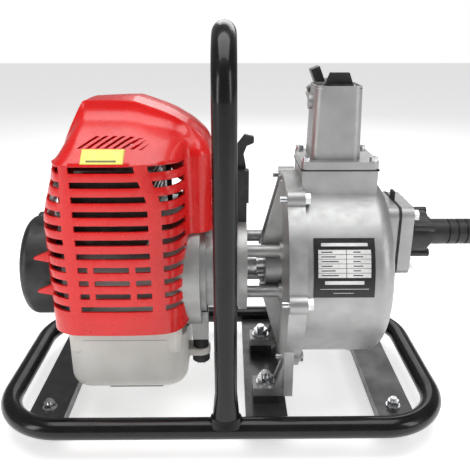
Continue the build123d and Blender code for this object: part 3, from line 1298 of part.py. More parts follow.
def single_nodes():
    """Nodes that are one piece each, named after the function that makes them."""
    makers = (
        base_loop, carry_handle, crankcase, connecting_rod, piston, cylinder,
        spark_plug, plug_cap, muffler, primer_bulb, air_filter_cover, filter_foam,
        choke_lever, fan_housing, flywheel, ignition_coil, clutch_shoes, clutch_drum,
        clutch_housing, standoff_rods, starter_housing, starter_reel, recoil_spring, starter_rope,
        starter_grip, front_cowl, top_cowl, stop_button, fuel_tank, fuel_cap,
        cap_washer, fuel_line,
        throttle_bracket, throttle_lever, pump_bracket, impeller, volute, pump_casing,
        label_plate, tower, check_flap, suction_flange, union_nut, hose_tail,
    )
    return {maker.__name__: maker() for maker in makers}


os.makedirs("parts", exist_ok=True)
for name, shape in {**frame_nodes(), **grouped_nodes(), **single_nodes()}.items():
    export_step(Pos(-BOX_MID_X, 0, 0) * shape, f"parts/{name}.step")
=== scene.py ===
import math

import bmesh
import bpy
from mathutils import Matrix, Vector


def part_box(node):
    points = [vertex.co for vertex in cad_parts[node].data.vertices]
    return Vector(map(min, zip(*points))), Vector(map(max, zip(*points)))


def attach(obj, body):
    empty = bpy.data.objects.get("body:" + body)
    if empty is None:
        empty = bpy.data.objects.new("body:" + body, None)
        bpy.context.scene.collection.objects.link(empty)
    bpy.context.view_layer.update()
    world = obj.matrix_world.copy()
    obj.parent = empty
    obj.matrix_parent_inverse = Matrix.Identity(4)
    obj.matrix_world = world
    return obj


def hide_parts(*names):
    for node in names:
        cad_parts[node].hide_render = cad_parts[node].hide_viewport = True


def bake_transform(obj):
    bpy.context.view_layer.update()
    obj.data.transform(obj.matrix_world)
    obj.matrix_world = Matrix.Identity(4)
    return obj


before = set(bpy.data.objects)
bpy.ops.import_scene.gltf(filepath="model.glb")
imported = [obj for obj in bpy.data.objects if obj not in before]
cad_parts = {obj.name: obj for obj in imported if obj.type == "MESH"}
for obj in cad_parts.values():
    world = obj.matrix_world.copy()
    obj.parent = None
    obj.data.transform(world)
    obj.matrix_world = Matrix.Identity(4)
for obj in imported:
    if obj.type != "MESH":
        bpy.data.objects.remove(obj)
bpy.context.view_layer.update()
MM = 0.001

# The studio that the goods stand in: a plain white sweep of card, a camera on a stand a
# little above the carrying handle, one large soft lamp overhead and two beside the camera.
card = bmesh.new()
bmesh.ops.create_grid(card, x_segments=1, y_segments=1, size=6.0)
card_mesh = bpy.data.meshes.new("card_floor")
card.to_mesh(card_mesh)
card.free()
card_floor = bpy.data.objects.new("card_floor", card_mesh)
bpy.context.scene.collection.objects.link(card_floor)
card_white = bpy.data.materials.new("card_white")
card_white.use_nodes = True
card_shader = card_white.node_tree.nodes["Principled BSDF"]
card_shader.inputs["Base Color"].default_value = (0.93, 0.93, 0.93, 1)
card_shader.inputs["Roughness"].default_value = 0.85
card_shader.inputs["Emission Color"].default_value = (1, 1, 1, 1)
card_shader.inputs["Emission Strength"].default_value = 0.55
card_mesh.materials.append(card_white)

lens = bpy.data.cameras.new("studio_camera")
lens.lens = 43.55
lens.sensor_width = 36
lens.clip_start = 0.02
studio_camera = bpy.data.objects.new("studio_camera", lens)
studio_camera.location = (-0.0074, -0.5403, 0.3787)
studio_camera.rotation_euler = (math.radians(69.87), 0, math.radians(-0.573))
bpy.context.scene.collection.objects.link(studio_camera)
bpy.context.scene.camera = studio_camera


def soft_lamp(name, place, aim, size, power):
    lamp = bpy.data.lights.new(name, "AREA")
    lamp.shape = "RECTANGLE"
    lamp.size, lamp.size_y = size
    lamp.energy = power
    stand = bpy.data.objects.new(name, lamp)
    stand.location = place
    stand.rotation_euler = (Vector(aim) - Vector(place)).to_track_quat("-Z", "Y").to_euler()
    bpy.context.scene.collection.objects.link(stand)


soft_lamp("overhead_lamp", (0, -0.1, 1.3), (0, 0, 0.15), (1.3, 0.9), 13)
soft_lamp("left_lamp", (-1.2, -0.9, 0.6), (0, 0, 0.15), (0.35, 0.9), 6)
soft_lamp("right_lamp", (1.2, -0.8, 0.7), (0, 0, 0.15), (0.35, 0.9), 5)
soft_lamp("back_lamp", (0.2, 1.5, 1.1), (0, 0, 0.2), (1.2, 0.8), 6)
studio_air = bpy.data.worlds.new("studio_air")
studio_air.use_nodes = True
air_glow = studio_air.node_tree.nodes["Background"]
air_glow.inputs["Color"].default_value = (1, 1, 1, 1)
seen_air = studio_air.node_tree.nodes.new("ShaderNodeLightPath")
air_strength = studio_air.node_tree.nodes.new("ShaderNodeMapRange")
air_strength.inputs["To Min"].default_value = 0.22
air_strength.inputs["To Max"].default_value = 1.0
studio_air.node_tree.links.new(seen_air.outputs["Is Camera Ray"], air_strength.inputs["Value"])
studio_air.node_tree.links.new(air_strength.outputs["Result"], air_glow.inputs["Strength"])
bpy.context.scene.world = studio_air
bpy.context.scene.view_settings.view_transform = "Standard"


# The carrying frame: 20 mm steel tube bent to a loop, with an arch welded across it for a handle.
# It is sprayed gloss black, and the paint has a faint orange peel and a few dull rubs.
def new_finish(name, colour, rough, metal=0.0, coat=0.0):
    finish = bpy.data.materials.new(name)
    finish.use_nodes = True
    shader = finish.node_tree.nodes["Principled BSDF"]
    shader.inputs["Base Color"].default_value = (*colour, 1)
    shader.inputs["Roughness"].default_value = rough
    shader.inputs["Metallic"].default_value = metal
    shader.inputs["Coat Weight"].default_value = coat
    shader.inputs["Coat Roughness"].default_value = 0.08
    return finish


def speckle(finish, per_metre, stretch=(1, 1, 1), detail=3.0):
    """A noise on object coordinates, with a number of lumps to the metre."""
    tree = finish.node_tree
    where = tree.nodes.new("ShaderNodeTexCoord")
    turn = tree.nodes.new("ShaderNodeMapping")
    turn.inputs["Scale"].default_value = stretch
    noise = tree.nodes.new("ShaderNodeTexNoise")
    noise.inputs["Scale"].default_value = per_metre
    noise.inputs["Detail"].default_value = detail
    tree.links.new(where.outputs["Object"], turn.inputs["Vector"])
    tree.links.new(turn.outputs["Vector"], noise.inputs["Vector"])
    return noise


def mottle(finish, per_metre, dark, light, stretch=(1, 1, 1)):
    """Colour that wanders between two shades."""
    tree = finish.node_tree
    noise = speckle(finish, per_metre, stretch)
    ramp = tree.nodes.new("ShaderNodeValToRGB")
    ramp.color_ramp.elements[0].position = 0.3
    ramp.color_ramp.elements[1].position = 0.7
    ramp.color_ramp.elements[0].color = (*dark, 1)
    ramp.color_ramp.elements[1].color = (*light, 1)
    tree.links.new(noise.outputs["Fac"], ramp.inputs["Fac"])
    tree.links.new(ramp.outputs["Color"], tree.nodes["Principled BSDF"].inputs["Base Color"])


def rub(finish, per_metre, low, high, stretch=(1, 1, 1)):
    """Gloss that wanders between two roughnesses, as handling leaves it."""
    tree = finish.node_tree
    noise = speckle(finish, per_metre, stretch, detail=5.0)
    spread = tree.nodes.new("ShaderNodeMapRange")
    spread.inputs["From Min"].default_value = 0.35
    spread.inputs["From Max"].default_value = 0.7
    spread.inputs["To Min"].default_value = low
    spread.inputs["To Max"].default_value = high
    tree.links.new(noise.outputs["Fac"], spread.inputs["Value"])
    tree.links.new(spread.outputs["Result"], tree.nodes["Principled BSDF"].inputs["Roughness"])


def grain(finish, per_metre, depth, stretch=(1, 1, 1)):
    """Fine relief, laid over whatever relief the finish has already."""
    tree = finish.node_tree
    shader = tree.nodes["Principled BSDF"]
    noise = speckle(finish, per_metre, stretch)
    relief = tree.nodes.new("ShaderNodeBump")
    relief.inputs["Strength"].default_value = 0.6
    relief.inputs["Distance"].default_value = depth
    for link in list(shader.inputs["Normal"].links):
        tree.links.new(link.from_socket, relief.inputs["Normal"])
    tree.links.new(noise.outputs["Fac"], relief.inputs["Height"])
    tree.links.new(relief.outputs["Normal"], shader.inputs["Normal"])


def dress(finish, *names):
    """Give CAD nodes a finish."""
    for name in names:
        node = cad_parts[name]
        if not node.data.materials:
            node.data.materials.append(finish)
        for place in node.material_slots:
            place.material = finish


tube_paint = new_finish("tube_paint", (0.010, 0.010, 0.011), 0.22, coat=0.2)
tube_paint.node_tree.nodes["Principled BSDF"].inputs["Specular IOR Level"].default_value = 0.25
mottle(tube_paint, 60, (0.004, 0.004, 0.005), (0.009, 0.009, 0.010))
rub(tube_paint, 35, 0.16, 0.32)
grain(tube_paint, 700, 0.00012)
dress(tube_paint, "base_loop", "carry_handle")

# The cross plates are flat steel bar, folded down at the ends and welded under the tubes.
# They have the same black paint, sprayed thinner, so that it is duller and shows dust.
plate_paint = new_finish("plate_paint", (0.022, 0.022, 0.024), 0.38, coat=0.25)
mottle(plate_paint, 90, (0.016, 0.016, 0.018), (0.034, 0.034, 0.036))
rub(plate_paint, 50, 0.28, 0.5)
grain(plate_paint, 1500, 0.00008)
dress(plate_paint, "left_cross_plate", "middle_cross_plate", "right_cross_plate")

# Rubber: four feet, the bracket isolators, the tank bushes and pad, moulded in black compound.
# The surface is matt and a little chalky, and picks up grey dust.
rubber = new_finish("rubber", (0.016, 0.016, 0.016), 0.7)
mottle(rubber, 220, (0.011, 0.011, 0.011), (0.028, 0.028, 0.027))
rub(rubber, 160, 0.55, 0.85)
grain(rubber, 2400, 0.00012)
dress(rubber, "rubber_feet", "pump_gaskets", "cap_washer", "prime_washer", "spout_washer")
dress(rubber, "check_flap", "fuel_line", "plug_cap", "primer_bulb")

# Fasteners: pressed and rolled steel with bright zinc plate, a touch blue, with tool rubs.
bright_zinc = new_finish("bright_zinc", (0.66, 0.68, 0.70), 0.24, metal=1.0)
mottle(bright_zinc, 260, (0.52, 0.53, 0.55), (0.78, 0.79, 0.80))
rub(bright_zinc, 300, 0.16, 0.42)
grain(bright_zinc, 2600, 0.00005)
dress(bright_zinc, "mount_bolts", "pump_bolts", "spark_plug")

# Machined steel inside the engine and the pump: turned, ground and lightly oiled.
ground_steel = new_finish("ground_steel", (0.42, 0.42, 0.43), 0.3, metal=1.0)
mottle(ground_steel, 140, (0.30, 0.30, 0.31), (0.52, 0.52, 0.52))
rub(ground_steel, 200, 0.22, 0.45)
grain(ground_steel, 1800, 0.00005, stretch=(6, 1, 1))
dress(ground_steel, "bearings", "crankshaft", "piston_pins", "pump_shaft", "connecting_rod")
dress(ground_steel, "clutch_shoes", "clutch_drum", "ignition_coil", "recoil_spring", "flywheel")

# Aluminium castings: crankcase, cylinder, housings, bracket, casing, tower and suction flange.
# They are die cast, tumbled with fine beads to a satin silver, and machined at the joints.
cast_silver = new_finish("cast_silver", (0.40, 0.405, 0.40), 0.42, metal=0.7)
mottle(cast_silver, 45, (0.36, 0.365, 0.36), (0.43, 0.435, 0.43))
rub(cast_silver, 120, 0.36, 0.5)
grain(cast_silver, 2300, 0.00016)
grain(cast_silver, 260, 0.00010)
dress(cast_silver, "crankcase", "piston", "cylinder", "fan_housing", "clutch_housing")
dress(cast_silver, "standoff_rods", "pump_bracket", "impeller", "volute", "pump_casing")
dress(cast_silver, "tower", "suction_flange", "carburettor")

# Black nylon mouldings: the starter, filter box, throttle lever, plugs, union nut and hose tail.
# They are satin, with a faint flow grain and a greyer bloom where hands rub them.
black_nylon = new_finish("black_nylon", (0.014, 0.014, 0.015), 0.4)
mottle(black_nylon, 110, (0.010, 0.010, 0.011), (0.024, 0.024, 0.025))
rub(black_nylon, 90, 0.3, 0.55)
grain(black_nylon, 1600, 0.00010)
dress(black_nylon, "air_filter_cover", "choke_lever", "starter_housing", "starter_reel")
dress(black_nylon, "starter_grip", "stop_button", "fuel_cap", "throttle_bracket")
dress(black_nylon, "throttle_lever", "union_nut", "hose_tail", "prime_plug", "spout_plug")
dress(black_nylon, "filter_foam")

# The muffler is a pressed steel box in heat-resisting black, browned where it runs hot.
muffler_skin = new_finish("muffler_skin", (0.03, 0.027, 0.025), 0.55, metal=0.6)
mottle(muffler_skin, 70, (0.02, 0.018, 0.017), (0.06, 0.048, 0.04))
rub(muffler_skin, 110, 0.45, 0.7)
grain(muffler_skin, 1300, 0.00012)
dress(muffler_skin, "muffler")

# The fuel tank is blow moulded in milky polythene. It is seen through a little, and its walls
# are soft at every corner. A shoulder along the near side rises behind the cowl.
tank_milk = new_finish("tank_milk", (0.62, 0.60, 0.56), 0.36)
tank_shader = tank_milk.node_tree.nodes["Principled BSDF"]
tank_shader.inputs["Subsurface Weight"].default_value = 0.3
tank_shader.inputs["Subsurface Radius"].default_value = (0.012, 0.010, 0.008)
tank_shader.inputs["Subsurface Scale"].default_value = 1.0
mottle(tank_milk, 30, (0.57, 0.55, 0.51), (0.66, 0.64, 0.60))
rub(tank_milk, 80, 0.3, 0.44)
grain(tank_milk, 900, 0.00008)
dress(tank_milk, "fuel_tank")


def put_in_scene(name, mesh_work, finish, smooth=True):
    """Turn a worked mesh into an object at the origin."""
    mesh = bpy.data.meshes.new(name)
    mesh_work.to_mesh(mesh)
    mesh_work.free()
    mesh.materials.append(finish)
    for face in mesh.polygons:
        face.use_smooth = smooth
    piece = bpy.data.objects.new(name, mesh)
    bpy.context.scene.collection.objects.link(piece)
    return piece


CENTRE_X = -15.55


def to_metres(mesh_work):
    """Loop-centred millimetres to the shared frame in metres."""
    bmesh.ops.translate(mesh_work, vec=(CENTRE_X, 0, 0), verts=mesh_work.verts)
    bmesh.ops.scale(mesh_work, vec=(MM, MM, MM), verts=mesh_work.verts)


SHOULDER_SIZE = (108, 16, 30)
SHOULDER_MIDDLE = (-92, -57.4, 96.5)
SHOULDER_ROUND = 6.5
shoulder = bmesh.new()
bmesh.ops.create_cube(shoulder, size=1.0)
bmesh.ops.scale(shoulder, vec=SHOULDER_SIZE, verts=shoulder.verts)
bmesh.ops.translate(shoulder, vec=SHOULDER_MIDDLE, verts=shoulder.verts)
bmesh.ops.bevel(
    shoulder, geom=shoulder.edges[:], offset=SHOULDER_ROUND, segments=4, profile=0.5, material=-1,
    affect="EDGES",
)
to_metres(shoulder)
tank_shoulder = put_in_scene("tank_shoulder", shoulder, tank_milk)
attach(tank_shoulder, "machine")

# The near cowl is an injection moulding in glossy red ABS, 2.6 mm thick. Eleven rows of slots
# run round both corners, and above them a hood sweeps back to the seam with the far cowl.
cowl_red = new_finish("cowl_red", (0.72, 0.011, 0.010), 0.26, coat=0.15)
mottle(cowl_red, 25, (0.66, 0.007, 0.007), (0.74, 0.010, 0.009))
rub(cowl_red, 60, 0.22, 0.34)
grain(cowl_red, 1100, 0.00003)

WALL = 2.6
SEAM_Y = -24.0
LEDGE_Z = 202.0
BROW_Z = 270.5
HEM_Z = 110.5
SLOT_LOW_Z = 134.4
SLOT_PITCH = 12.92
SLOT_HIGH = 5.7
SLOT_ROWS = 11
BARRED_ROWS = (1, 2, 3)
LEDGE_TOP_Z = LEDGE_Z - 3.4
LEDGE_FOOT_Z = LEDGE_Z - 3.5
LEVEL_Z = 225

plan_keys = [
    (-154, -24), (-154.5, -48), (-151.5, -62), (-145, -71.5), (-136, -77), (-126.5, -78),
    (-117.7, -78.2), (-112.5, -78.3), (-96, -78.5), (-81, -78.3), (-75.4, -78), (-62, -77),
    (-50.5, -75), (-42, -70.5), (-35.5, -61.5), (-31.5, -49), (-27, -44), (-17, -42), (-9.5, -35),
    (-7, -24),
]
step_keys = [(-31.5, -47), (-30, -42), (-29, -36), (-28.5, -30), (-28, -24)]
rim_keys = [
    (-148, 256), (-147, 263), (-144, 274), (-139.5, 285), (-132, 300), (-123, 315.5),
    (-117.5, 317.4), (-111, 317.5), (-95, 317.4), (-80, 316.8), (-74.5, 315.8), (-59, 310.5),
    (-51, 307.5), (-43, 304), (-35.5, 299.5), (-28, 295), (-20, 288.5), (-13, 282), (-9, 274),
    (-7, 262),
]
hood_keys = [
    (0.0, 0.0), (0.24, 0.24), (0.45, 0.43), (0.66, 0.58), (0.84, 0.70), (0.945, 0.84), (1.0, 1.0),
]
column_steps = [3, 4, 3, 3, 2, 2, 1, 3, 3, 1, 3, 3, 3, 3, 3, 2, 3, 3, 3]


def along(keys, place):
    """A smooth curve through key points, read at a place counted in keys."""
    first = min(int(place), len(keys) - 2)
    share = place - first
    before, start, end, after = (
        Vector(keys[max(0, min(len(keys) - 1, first + step))]) for step in (-1, 0, 1, 2)
    )
    pull_out = (end - before) / 2
    pull_in = (after - start) / 2
    square, cube = share * share, share ** 3
    return (
        start * (2 * cube - 3 * square + 1)
        + pull_out * (cube - 2 * square + share)
        + end * (3 * square - 2 * cube)
        + pull_in * (cube - square)
    )


column_places = [
    key + step / steps for key, steps in enumerate(column_steps) for step in range(steps)
] + [len(plan_keys) - 1]
row_heights = [HEM_Z, HEM_Z + 1, HEM_Z + 12]
for row in range(SLOT_ROWS):
    slot_low = SLOT_LOW_Z + row * SLOT_PITCH
    row_heights += [slot_low, slot_low + SLOT_HIGH / 2, slot_low + SLOT_HIGH]
row_heights = sorted(row_heights + [LEDGE_FOOT_Z, LEDGE_TOP_Z])
row_heights.append(BROW_Z)
hood_steps = 18


def ease(value, low, high):
    share = max(0.0, min(1.0, (value - low) / (high - low)))
    return share * share * (3 - 2 * share)


def cowl_wall(place, height):
    """A point of the outer wall below the brow."""
    spot = along(plan_keys, place)
    if height < (LEDGE_FOOT_Z + LEDGE_TOP_Z) / 2 and place > 15:
        spot = along([plan_keys[13], plan_keys[14]] + step_keys, place - 13)
    # the left side falls away below the brow, and the posts lean with the hood above
    spread = 1 - ease(height, 212, BROW_Z + 3)
    spot.x -= (13 * spread - 8) * (1 - ease(place, 2.0, 4.8))
    lean = ease(height, 232, BROW_Z)
    spot.x -= 10 * lean * ease(place, 9.6, 11) * (1 - ease(place, 12, 14.5))
    return Vector((spot.x, spot.y, height))


def cowl_hood(place, share):
    """A point of the hood, between the brow and the seam."""
    brow = cowl_wall(place, BROW_Z)
    end = 1 - min(1, place / 2.0, (len(plan_keys) - 1 - place) / 2.0)
    rim = along(rim_keys, place)
    brow.z += (rim.y - brow.z) * end * end
    profile = along(hood_keys, share * (len(hood_keys) - 1))
    round_off = Vector((1 - math.cos(share * math.pi / 2), math.sin(share * math.pi / 2)))
    profile = profile.lerp(round_off, ease(place, 13.5, 17))
    return Vector((
        brow.x + (rim.x - brow.x) * profile.x,
        brow.y + (SEAM_Y - brow.y) * profile.x,
        brow.z + (rim.y - brow.z) * profile.y,
    ))


def slotted(place, height):
    """Whether the middle of a panel of the wall lies in a slot."""
    row = (height - SLOT_LOW_Z) / SLOT_PITCH
    if not 0 <= row < SLOT_ROWS or (row % 1) * SLOT_PITCH > SLOT_HIGH:
        return False
    bars = 6 < place < 7 or 9 < place < 10
    if int(row) in BARRED_ROWS and bars:
        return False
    return 1.3 < place < 4 or 5 < place < 11 or 12 < place < 15


rows = len(row_heights) + hood_steps
columns = len(column_places)
near = bmesh.new()
bmesh.ops.create_grid(near, x_segments=columns - 1, y_segments=rows - 1, size=1.0)
panels = {}
for vertex in near.verts:
    column = round((vertex.co.x + 1) / 2 * (columns - 1))
    row = round((vertex.co.y + 1) / 2 * (rows - 1))
    panels[vertex] = (column, row)
for vertex, (column, row) in panels.items():
    place = column_places[column]
    if row < len(row_heights):
        vertex.co = cowl_wall(place, row_heights[row])
    else:
        vertex.co = cowl_hood(place, (row - len(row_heights) + 1) / hood_steps)
for vertex, (column, row) in panels.items():
    if row < len(row_heights) and row_heights[row] > LEVEL_Z:
        top = cowl_hood(column_places[column], 0)
        vertex.co.z = LEVEL_Z + (vertex.co.z - LEVEL_Z) * (top.z - LEVEL_Z) / (BROW_Z - LEVEL_Z)
openings = []
for face in near.faces:
    corners = [panels[vertex] for vertex in face.verts]
    if max(row for column, row in corners) >= len(row_heights):
        continue
    place = sum(column_places[column] for column, row in corners) / len(corners)
    height = sum(row_heights[row] for column, row in corners) / len(corners)
    if slotted(place, height):
        openings.append(face)
bmesh.ops.delete(near, geom=openings, context="FACES")
bmesh.ops.remove_doubles(near, verts=near.verts, dist=0.01)
to_metres(near)
bmesh.ops.recalc_face_normals(near, faces=near.faces)
near_cowl = put_in_scene("near_cowl", near, cowl_red)
if sum(face.normal.y * face.area for face in near_cowl.data.polygons) > 0:
    near_cowl.data.flip_normals()
wall = near_cowl.modifiers.new("wall", "SOLIDIFY")
wall.thickness = WALL * MM
wall.offset = -1
edge = near_cowl.modifiers.new("edge", "BEVEL")
edge.width = 0.7 * MM
edge.segments = 2
edge.limit_method = "ANGLE"
edge.angle_limit = math.radians(50)
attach(near_cowl, "machine")
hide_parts("front_cowl")

# Eight slanting louvres are sunk in the sloping face of the hood, over the muffler. They are cut
# through the wall by the mould, and lean to the right from the bottom to the top.
LOUVRES = 8
LOUVRE_SIZE = (3.4, 14, 8)
LOUVRE_LEAN = 1.05
LOUVRE_TILT = 39
LOUVRE_PITCH = 7.4
LOUVRE_FIRST = Vector((-111.5, -59.5, 287.0))
cutter = bmesh.new()
for louvre in range(LOUVRES):
    blade = bmesh.ops.create_cube(cutter, size=1.0)["verts"]
    bmesh.ops.scale(cutter, vec=LOUVRE_SIZE, verts=blade)
    for vertex in blade:
        vertex.co.x += vertex.co.y * LOUVRE_LEAN
    hollow = Matrix.Rotation(math.radians(LOUVRE_TILT), 4, "X")
    middle = LOUVRE_FIRST + Vector((louvre * LOUVRE_PITCH, 0, 0))
    bmesh.ops.transform(cutter, matrix=Matrix.Translation(middle) @ hollow, verts=blade)
to_metres(cutter)
bmesh.ops.recalc_face_normals(cutter, faces=cutter.faces)
louvre_cutter = put_in_scene("louvre_cutter", cutter, cowl_red, smooth=False)
cut = near_cowl.modifiers.new("cut", "BOOLEAN")
cut.operation = "DIFFERENCE"
cut.solver = "EXACT"
cut.object = louvre_cutter
near_cowl.modifiers.move(len(near_cowl.modifiers) - 1, 1)
bpy.context.view_layer.update()
finished = bpy.data.meshes.new_from_object(near_cowl.evaluated_get(bpy.context.evaluated_depsgraph_get()))
near_cowl.modifiers.clear()
near_cowl.data = finished
bpy.data.objects.remove(louvre_cutter)

# The near cowl also carries two pointed fins on its left corner, which keep the hot cover off
# whatever the machine leans on. They are moulded in one piece with the wall.
FIN_SIZE = (17, 7, 12)
FIN_X = -161.5
FIN_Y = -60
FIN_HEIGHTS = (150.0, 183.0)
fins = bmesh.new()
for height in FIN_HEIGHTS:
    wedge = bmesh.ops.create_cube(fins, size=1.0)["verts"]
    bmesh.ops.scale(fins, vec=FIN_SIZE, verts=wedge)
    for vertex in wedge:
        if vertex.co.x < 0:
            vertex.co.z = vertex.co.z * 0.16 - 2
            vertex.co.y *= 0.6
    bmesh.ops.translate(fins, vec=(FIN_X, FIN_Y, height), verts=wedge)
bmesh.ops.bevel(
    fins, geom=fins.edges[:], offset=1.0, segments=2, profile=0.5, material=-1, affect="EDGES",
)
to_metres(fins)
corner_fins = put_in_scene("corner_fins", fins, cowl_red)
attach(corner_fins, "machine")

# A plain yellow sticker lies on the sloping face above the slots. It is printed vinyl with a
# thin grey bar across it, and its corners follow the curve of the hood.
sticker_vinyl = new_finish("sticker_vinyl", (0.86, 0.80, 0.14), 0.4)
mottle(sticker_vinyl, 180, (0.80, 0.74, 0.11), (0.90, 0.84, 0.18))
rub(sticker_vinyl, 150, 0.32, 0.5)
sticker_bar = new_finish("sticker_bar", (0.16, 0.15, 0.06), 0.45)
mottle(sticker_bar, 300, (0.12, 0.11, 0.05), (0.22, 0.20, 0.08))


def hood_patch(name, finish, left, right, low, high, lift):
    """A thin piece of film lying on the sloping face of the hood."""
    film = bmesh.new()
    bmesh.ops.create_grid(film, x_segments=12, y_segments=8, size=1.0)
    for vertex in film.verts:
        place = left + (vertex.co.x + 1) / 2 * (right - left)
        share = low + (vertex.co.y + 1) / 2 * (high - low)
        spot = cowl_hood(place, share)
        vertex.co = spot + Vector((0, -0.63, 0.77)) * lift
    to_metres(film)
    bmesh.ops.recalc_face_normals(film, faces=film.faces)
    patch = put_in_scene(name, film, finish)
    if sum(face.normal.z for face in patch.data.polygons) < 0:
        patch.data.flip_normals()
    body = patch.modifiers.new("film", "SOLIDIFY")
    body.thickness = 0.15 * MM
    body.offset = 1
    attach(patch, "machine")
    return patch


hood_patch("sticker", sticker_vinyl, 6.35, 9.1, 0.02, 0.165, 0.1)
hood_patch("sticker_bar", sticker_bar, 7.1, 8.6, 0.045, 0.062, 0.3)

# The far cowl closes the engine behind the seam. It is moulded in the same red ABS, with a low
# ridge at the seam, three shallow recesses down its right shoulder and a hole for the filter.
far = bmesh.new()
rim_line = [(-151, 204), (-154, 232)] + rim_keys + [(-8, 232), (-8.5, 204)]
depth_keys = [-23.6, -20, -8, 6, 20, 34, 41, 44.6, 46]
shrink_keys = [0, 0.6, 0.3, 0.5, 1.0, 2.2, 4.2, 7.2, 11.5]
far_columns = 96
far_rows = len(depth_keys) + 9
bmesh.ops.create_grid(far, x_segments=far_columns, y_segments=far_rows - 1, size=1.0)
heart = Vector((-78, 250))
for vertex in far.verts:
    place = (vertex.co.x + 1) / 2 * (len(rim_line) - 1)
    row = round((vertex.co.y + 1) / 2 * (far_rows - 1))
    spot = along(rim_line, place)
    inward = (heart - spot).normalized()
    lift = ease(place, 8, 12) * (1 - ease(place, 17, 22))
    if row < len(depth_keys):
        back = depth_keys[row]
        spot += inward * (shrink_keys[row] - 2.6 * lift * ease(back, -23, -10))
    else:
        back = depth_keys[-1]
        spot += inward * (shrink_keys[-1] + 4.0 * (row - len(depth_keys) + 1))
    vertex.co = (spot.x, back, max(spot.y, 204))
bmesh.ops.remove_doubles(far, verts=far.verts, dist=0.02)
to_metres(far)
bmesh.ops.recalc_face_normals(far, faces=far.faces)
far_cowl = put_in_scene("far_cowl", far, cowl_red)
if sum(face.normal.z * face.area for face in far_cowl.data.polygons) < 0:
    far_cowl.data.flip_normals()
far_wall = far_cowl.modifiers.new("wall", "SOLIDIFY")
far_wall.thickness = WALL * MM
far_wall.offset = -1
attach(far_cowl, "machine")
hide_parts("top_cowl")

# The rating plate is a thin black card on the near side of the pump casing, with a white table
# of plain ruled lines. It is printed, cut and stuck on, and nothing is written on it.
plate_ink = new_finish("plate_ink", (0.012, 0.012, 0.012), 0.35)
mottle(plate_ink, 400, (0.010, 0.010, 0.010), (0.018, 0.018, 0.018))
rub(plate_ink, 200, 0.28, 0.42)
dress(plate_ink, "label_plate")
plate_white = new_finish("plate_white", (0.74, 0.74, 0.73), 0.42)
mottle(plate_white, 300, (0.70, 0.70, 0.69), (0.78, 0.78, 0.77))
rub(plate_white, 200, 0.34, 0.5)
PLATE_RADIUS = 88.8
PLATE_TURN = (2.5, 37.0)


def plate_print(name, finish, across, up, lift):
    """Ink on the plate, given as shares of its width and height."""
    low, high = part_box("label_plate")
    film = bmesh.new()
    bmesh.ops.create_grid(film, x_segments=2, y_segments=8, size=1.0)
    for vertex in film.verts:
        x_share = across[0] + (vertex.co.x + 1) / 2 * (across[1] - across[0])
        z_share = up[0] + (vertex.co.y + 1) / 2 * (up[1] - up[0])
        turn = math.radians(PLATE_TURN[0] + z_share * (PLATE_TURN[1] - PLATE_TURN[0]))
        radius = (PLATE_RADIUS + lift) * MM
        vertex.co = Vector((
            low.x + x_share * (high.x - low.x),
            -radius * math.cos(turn),
            0.150 + radius * math.sin(turn),
        ))
    bmesh.ops.solidify(film, geom=film.faces[:], thickness=0.05 * MM)
    bmesh.ops.recalc_face_normals(film, faces=film.faces)
    ink = put_in_scene(name, film, finish)
    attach(ink, "machine")


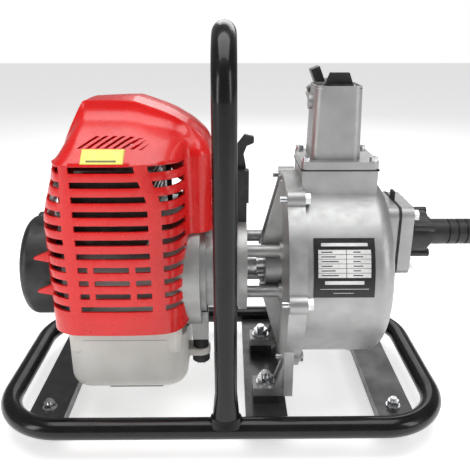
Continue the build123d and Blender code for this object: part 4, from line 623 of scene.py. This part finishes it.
plate_print("plate_table", plate_white, (0.07, 0.93), (0.34, 0.80), 0.1)
for line in range(1, 6):
    height = 0.34 + line * 0.46 / 6
    plate_print(f"plate_rule_{line}", plate_ink, (0.07, 0.93), (height - 0.003, height + 0.003), 0.2)
plate_print("plate_column", plate_ink, (0.525, 0.533), (0.34, 0.80), 0.2)
plate_print("plate_heading", plate_white, (0.12, 0.88), (0.86, 0.915), 0.1)
plate_print("plate_panel", plate_white, (0.18, 0.82), (0.225, 0.285), 0.1)
plate_print("plate_foot", plate_white, (0.1, 0.9), (0.145, 0.152), 0.1)
plate_print("plate_last", plate_white, (0.32, 0.66), (0.075, 0.082), 0.1)
for row in range(6):
    middle = 0.34 + (row + 0.5) * 0.46 / 6
    level = (middle - 0.008, middle + 0.008)
    plate_print(f"plate_entry_{row}", plate_ink, (0.12, 0.40 - 0.05 * (row % 3)), level, 0.2)
    plate_print(f"plate_value_{row}", plate_ink, (0.64, 0.80 - 0.04 * (row % 2)), level, 0.2)

# The starter rope is plaited nylon, white with a grey fleck, from the reel to the grip. It runs out
# of the reel as the grip is drawn, so it is one piece that spans the two bodies.
rope_fibre = new_finish("rope_fibre", (0.55, 0.54, 0.52), 0.8)
mottle(rope_fibre, 900, (0.35, 0.34, 0.33), (0.68, 0.67, 0.65))
rub(rope_fibre, 500, 0.7, 0.9)
grain(rope_fibre, 1200, 0.0004, stretch=(1, 0.4, 1))
dress(rope_fibre, "starter_rope")
ROPE_STRANDS = 8
ROPE_FURROW = 0.1
ROPE_TURNS = 3
ROPE_STEPS = 96
rope_low, rope_high = (Vector(corner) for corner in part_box("starter_rope"))
rope_start = (rope_low + rope_high) / 2
rope_start.y = rope_low.y
rope_reach = rope_high.y - rope_low.y
rope_radius = (rope_high.x - rope_low.x) / 2
rope = bmesh.new()
facing = Matrix.Translation(rope_start) @ Matrix.Rotation(math.radians(90), 4, "X")
bmesh.ops.create_circle(rope, segments=ROPE_STRANDS * 6, radius=rope_radius, matrix=facing)
for corner in rope.verts:
    spoke = corner.co - rope_start
    strand = math.sin(ROPE_STRANDS / 2 * math.atan2(spoke.z, spoke.x))
    corner.co = rope_start + spoke * (1 - ROPE_FURROW * (1 - abs(strand)))
bmesh.ops.spin(
    rope, geom=rope.verts[:] + rope.edges[:], cent=rope_start, axis=(0, 1, 0),
    dvec=(0, rope_reach / ROPE_STEPS, 0), angle=math.tau * ROPE_TURNS, steps=ROPE_STEPS,
)
bmesh.ops.holes_fill(rope, edges=rope.edges, sides=0)
bmesh.ops.recalc_face_normals(rope, faces=rope.faces)
plaited_rope = put_in_scene("plaited_rope", rope, rope_fibre)
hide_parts("starter_rope")
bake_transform(plaited_rope)
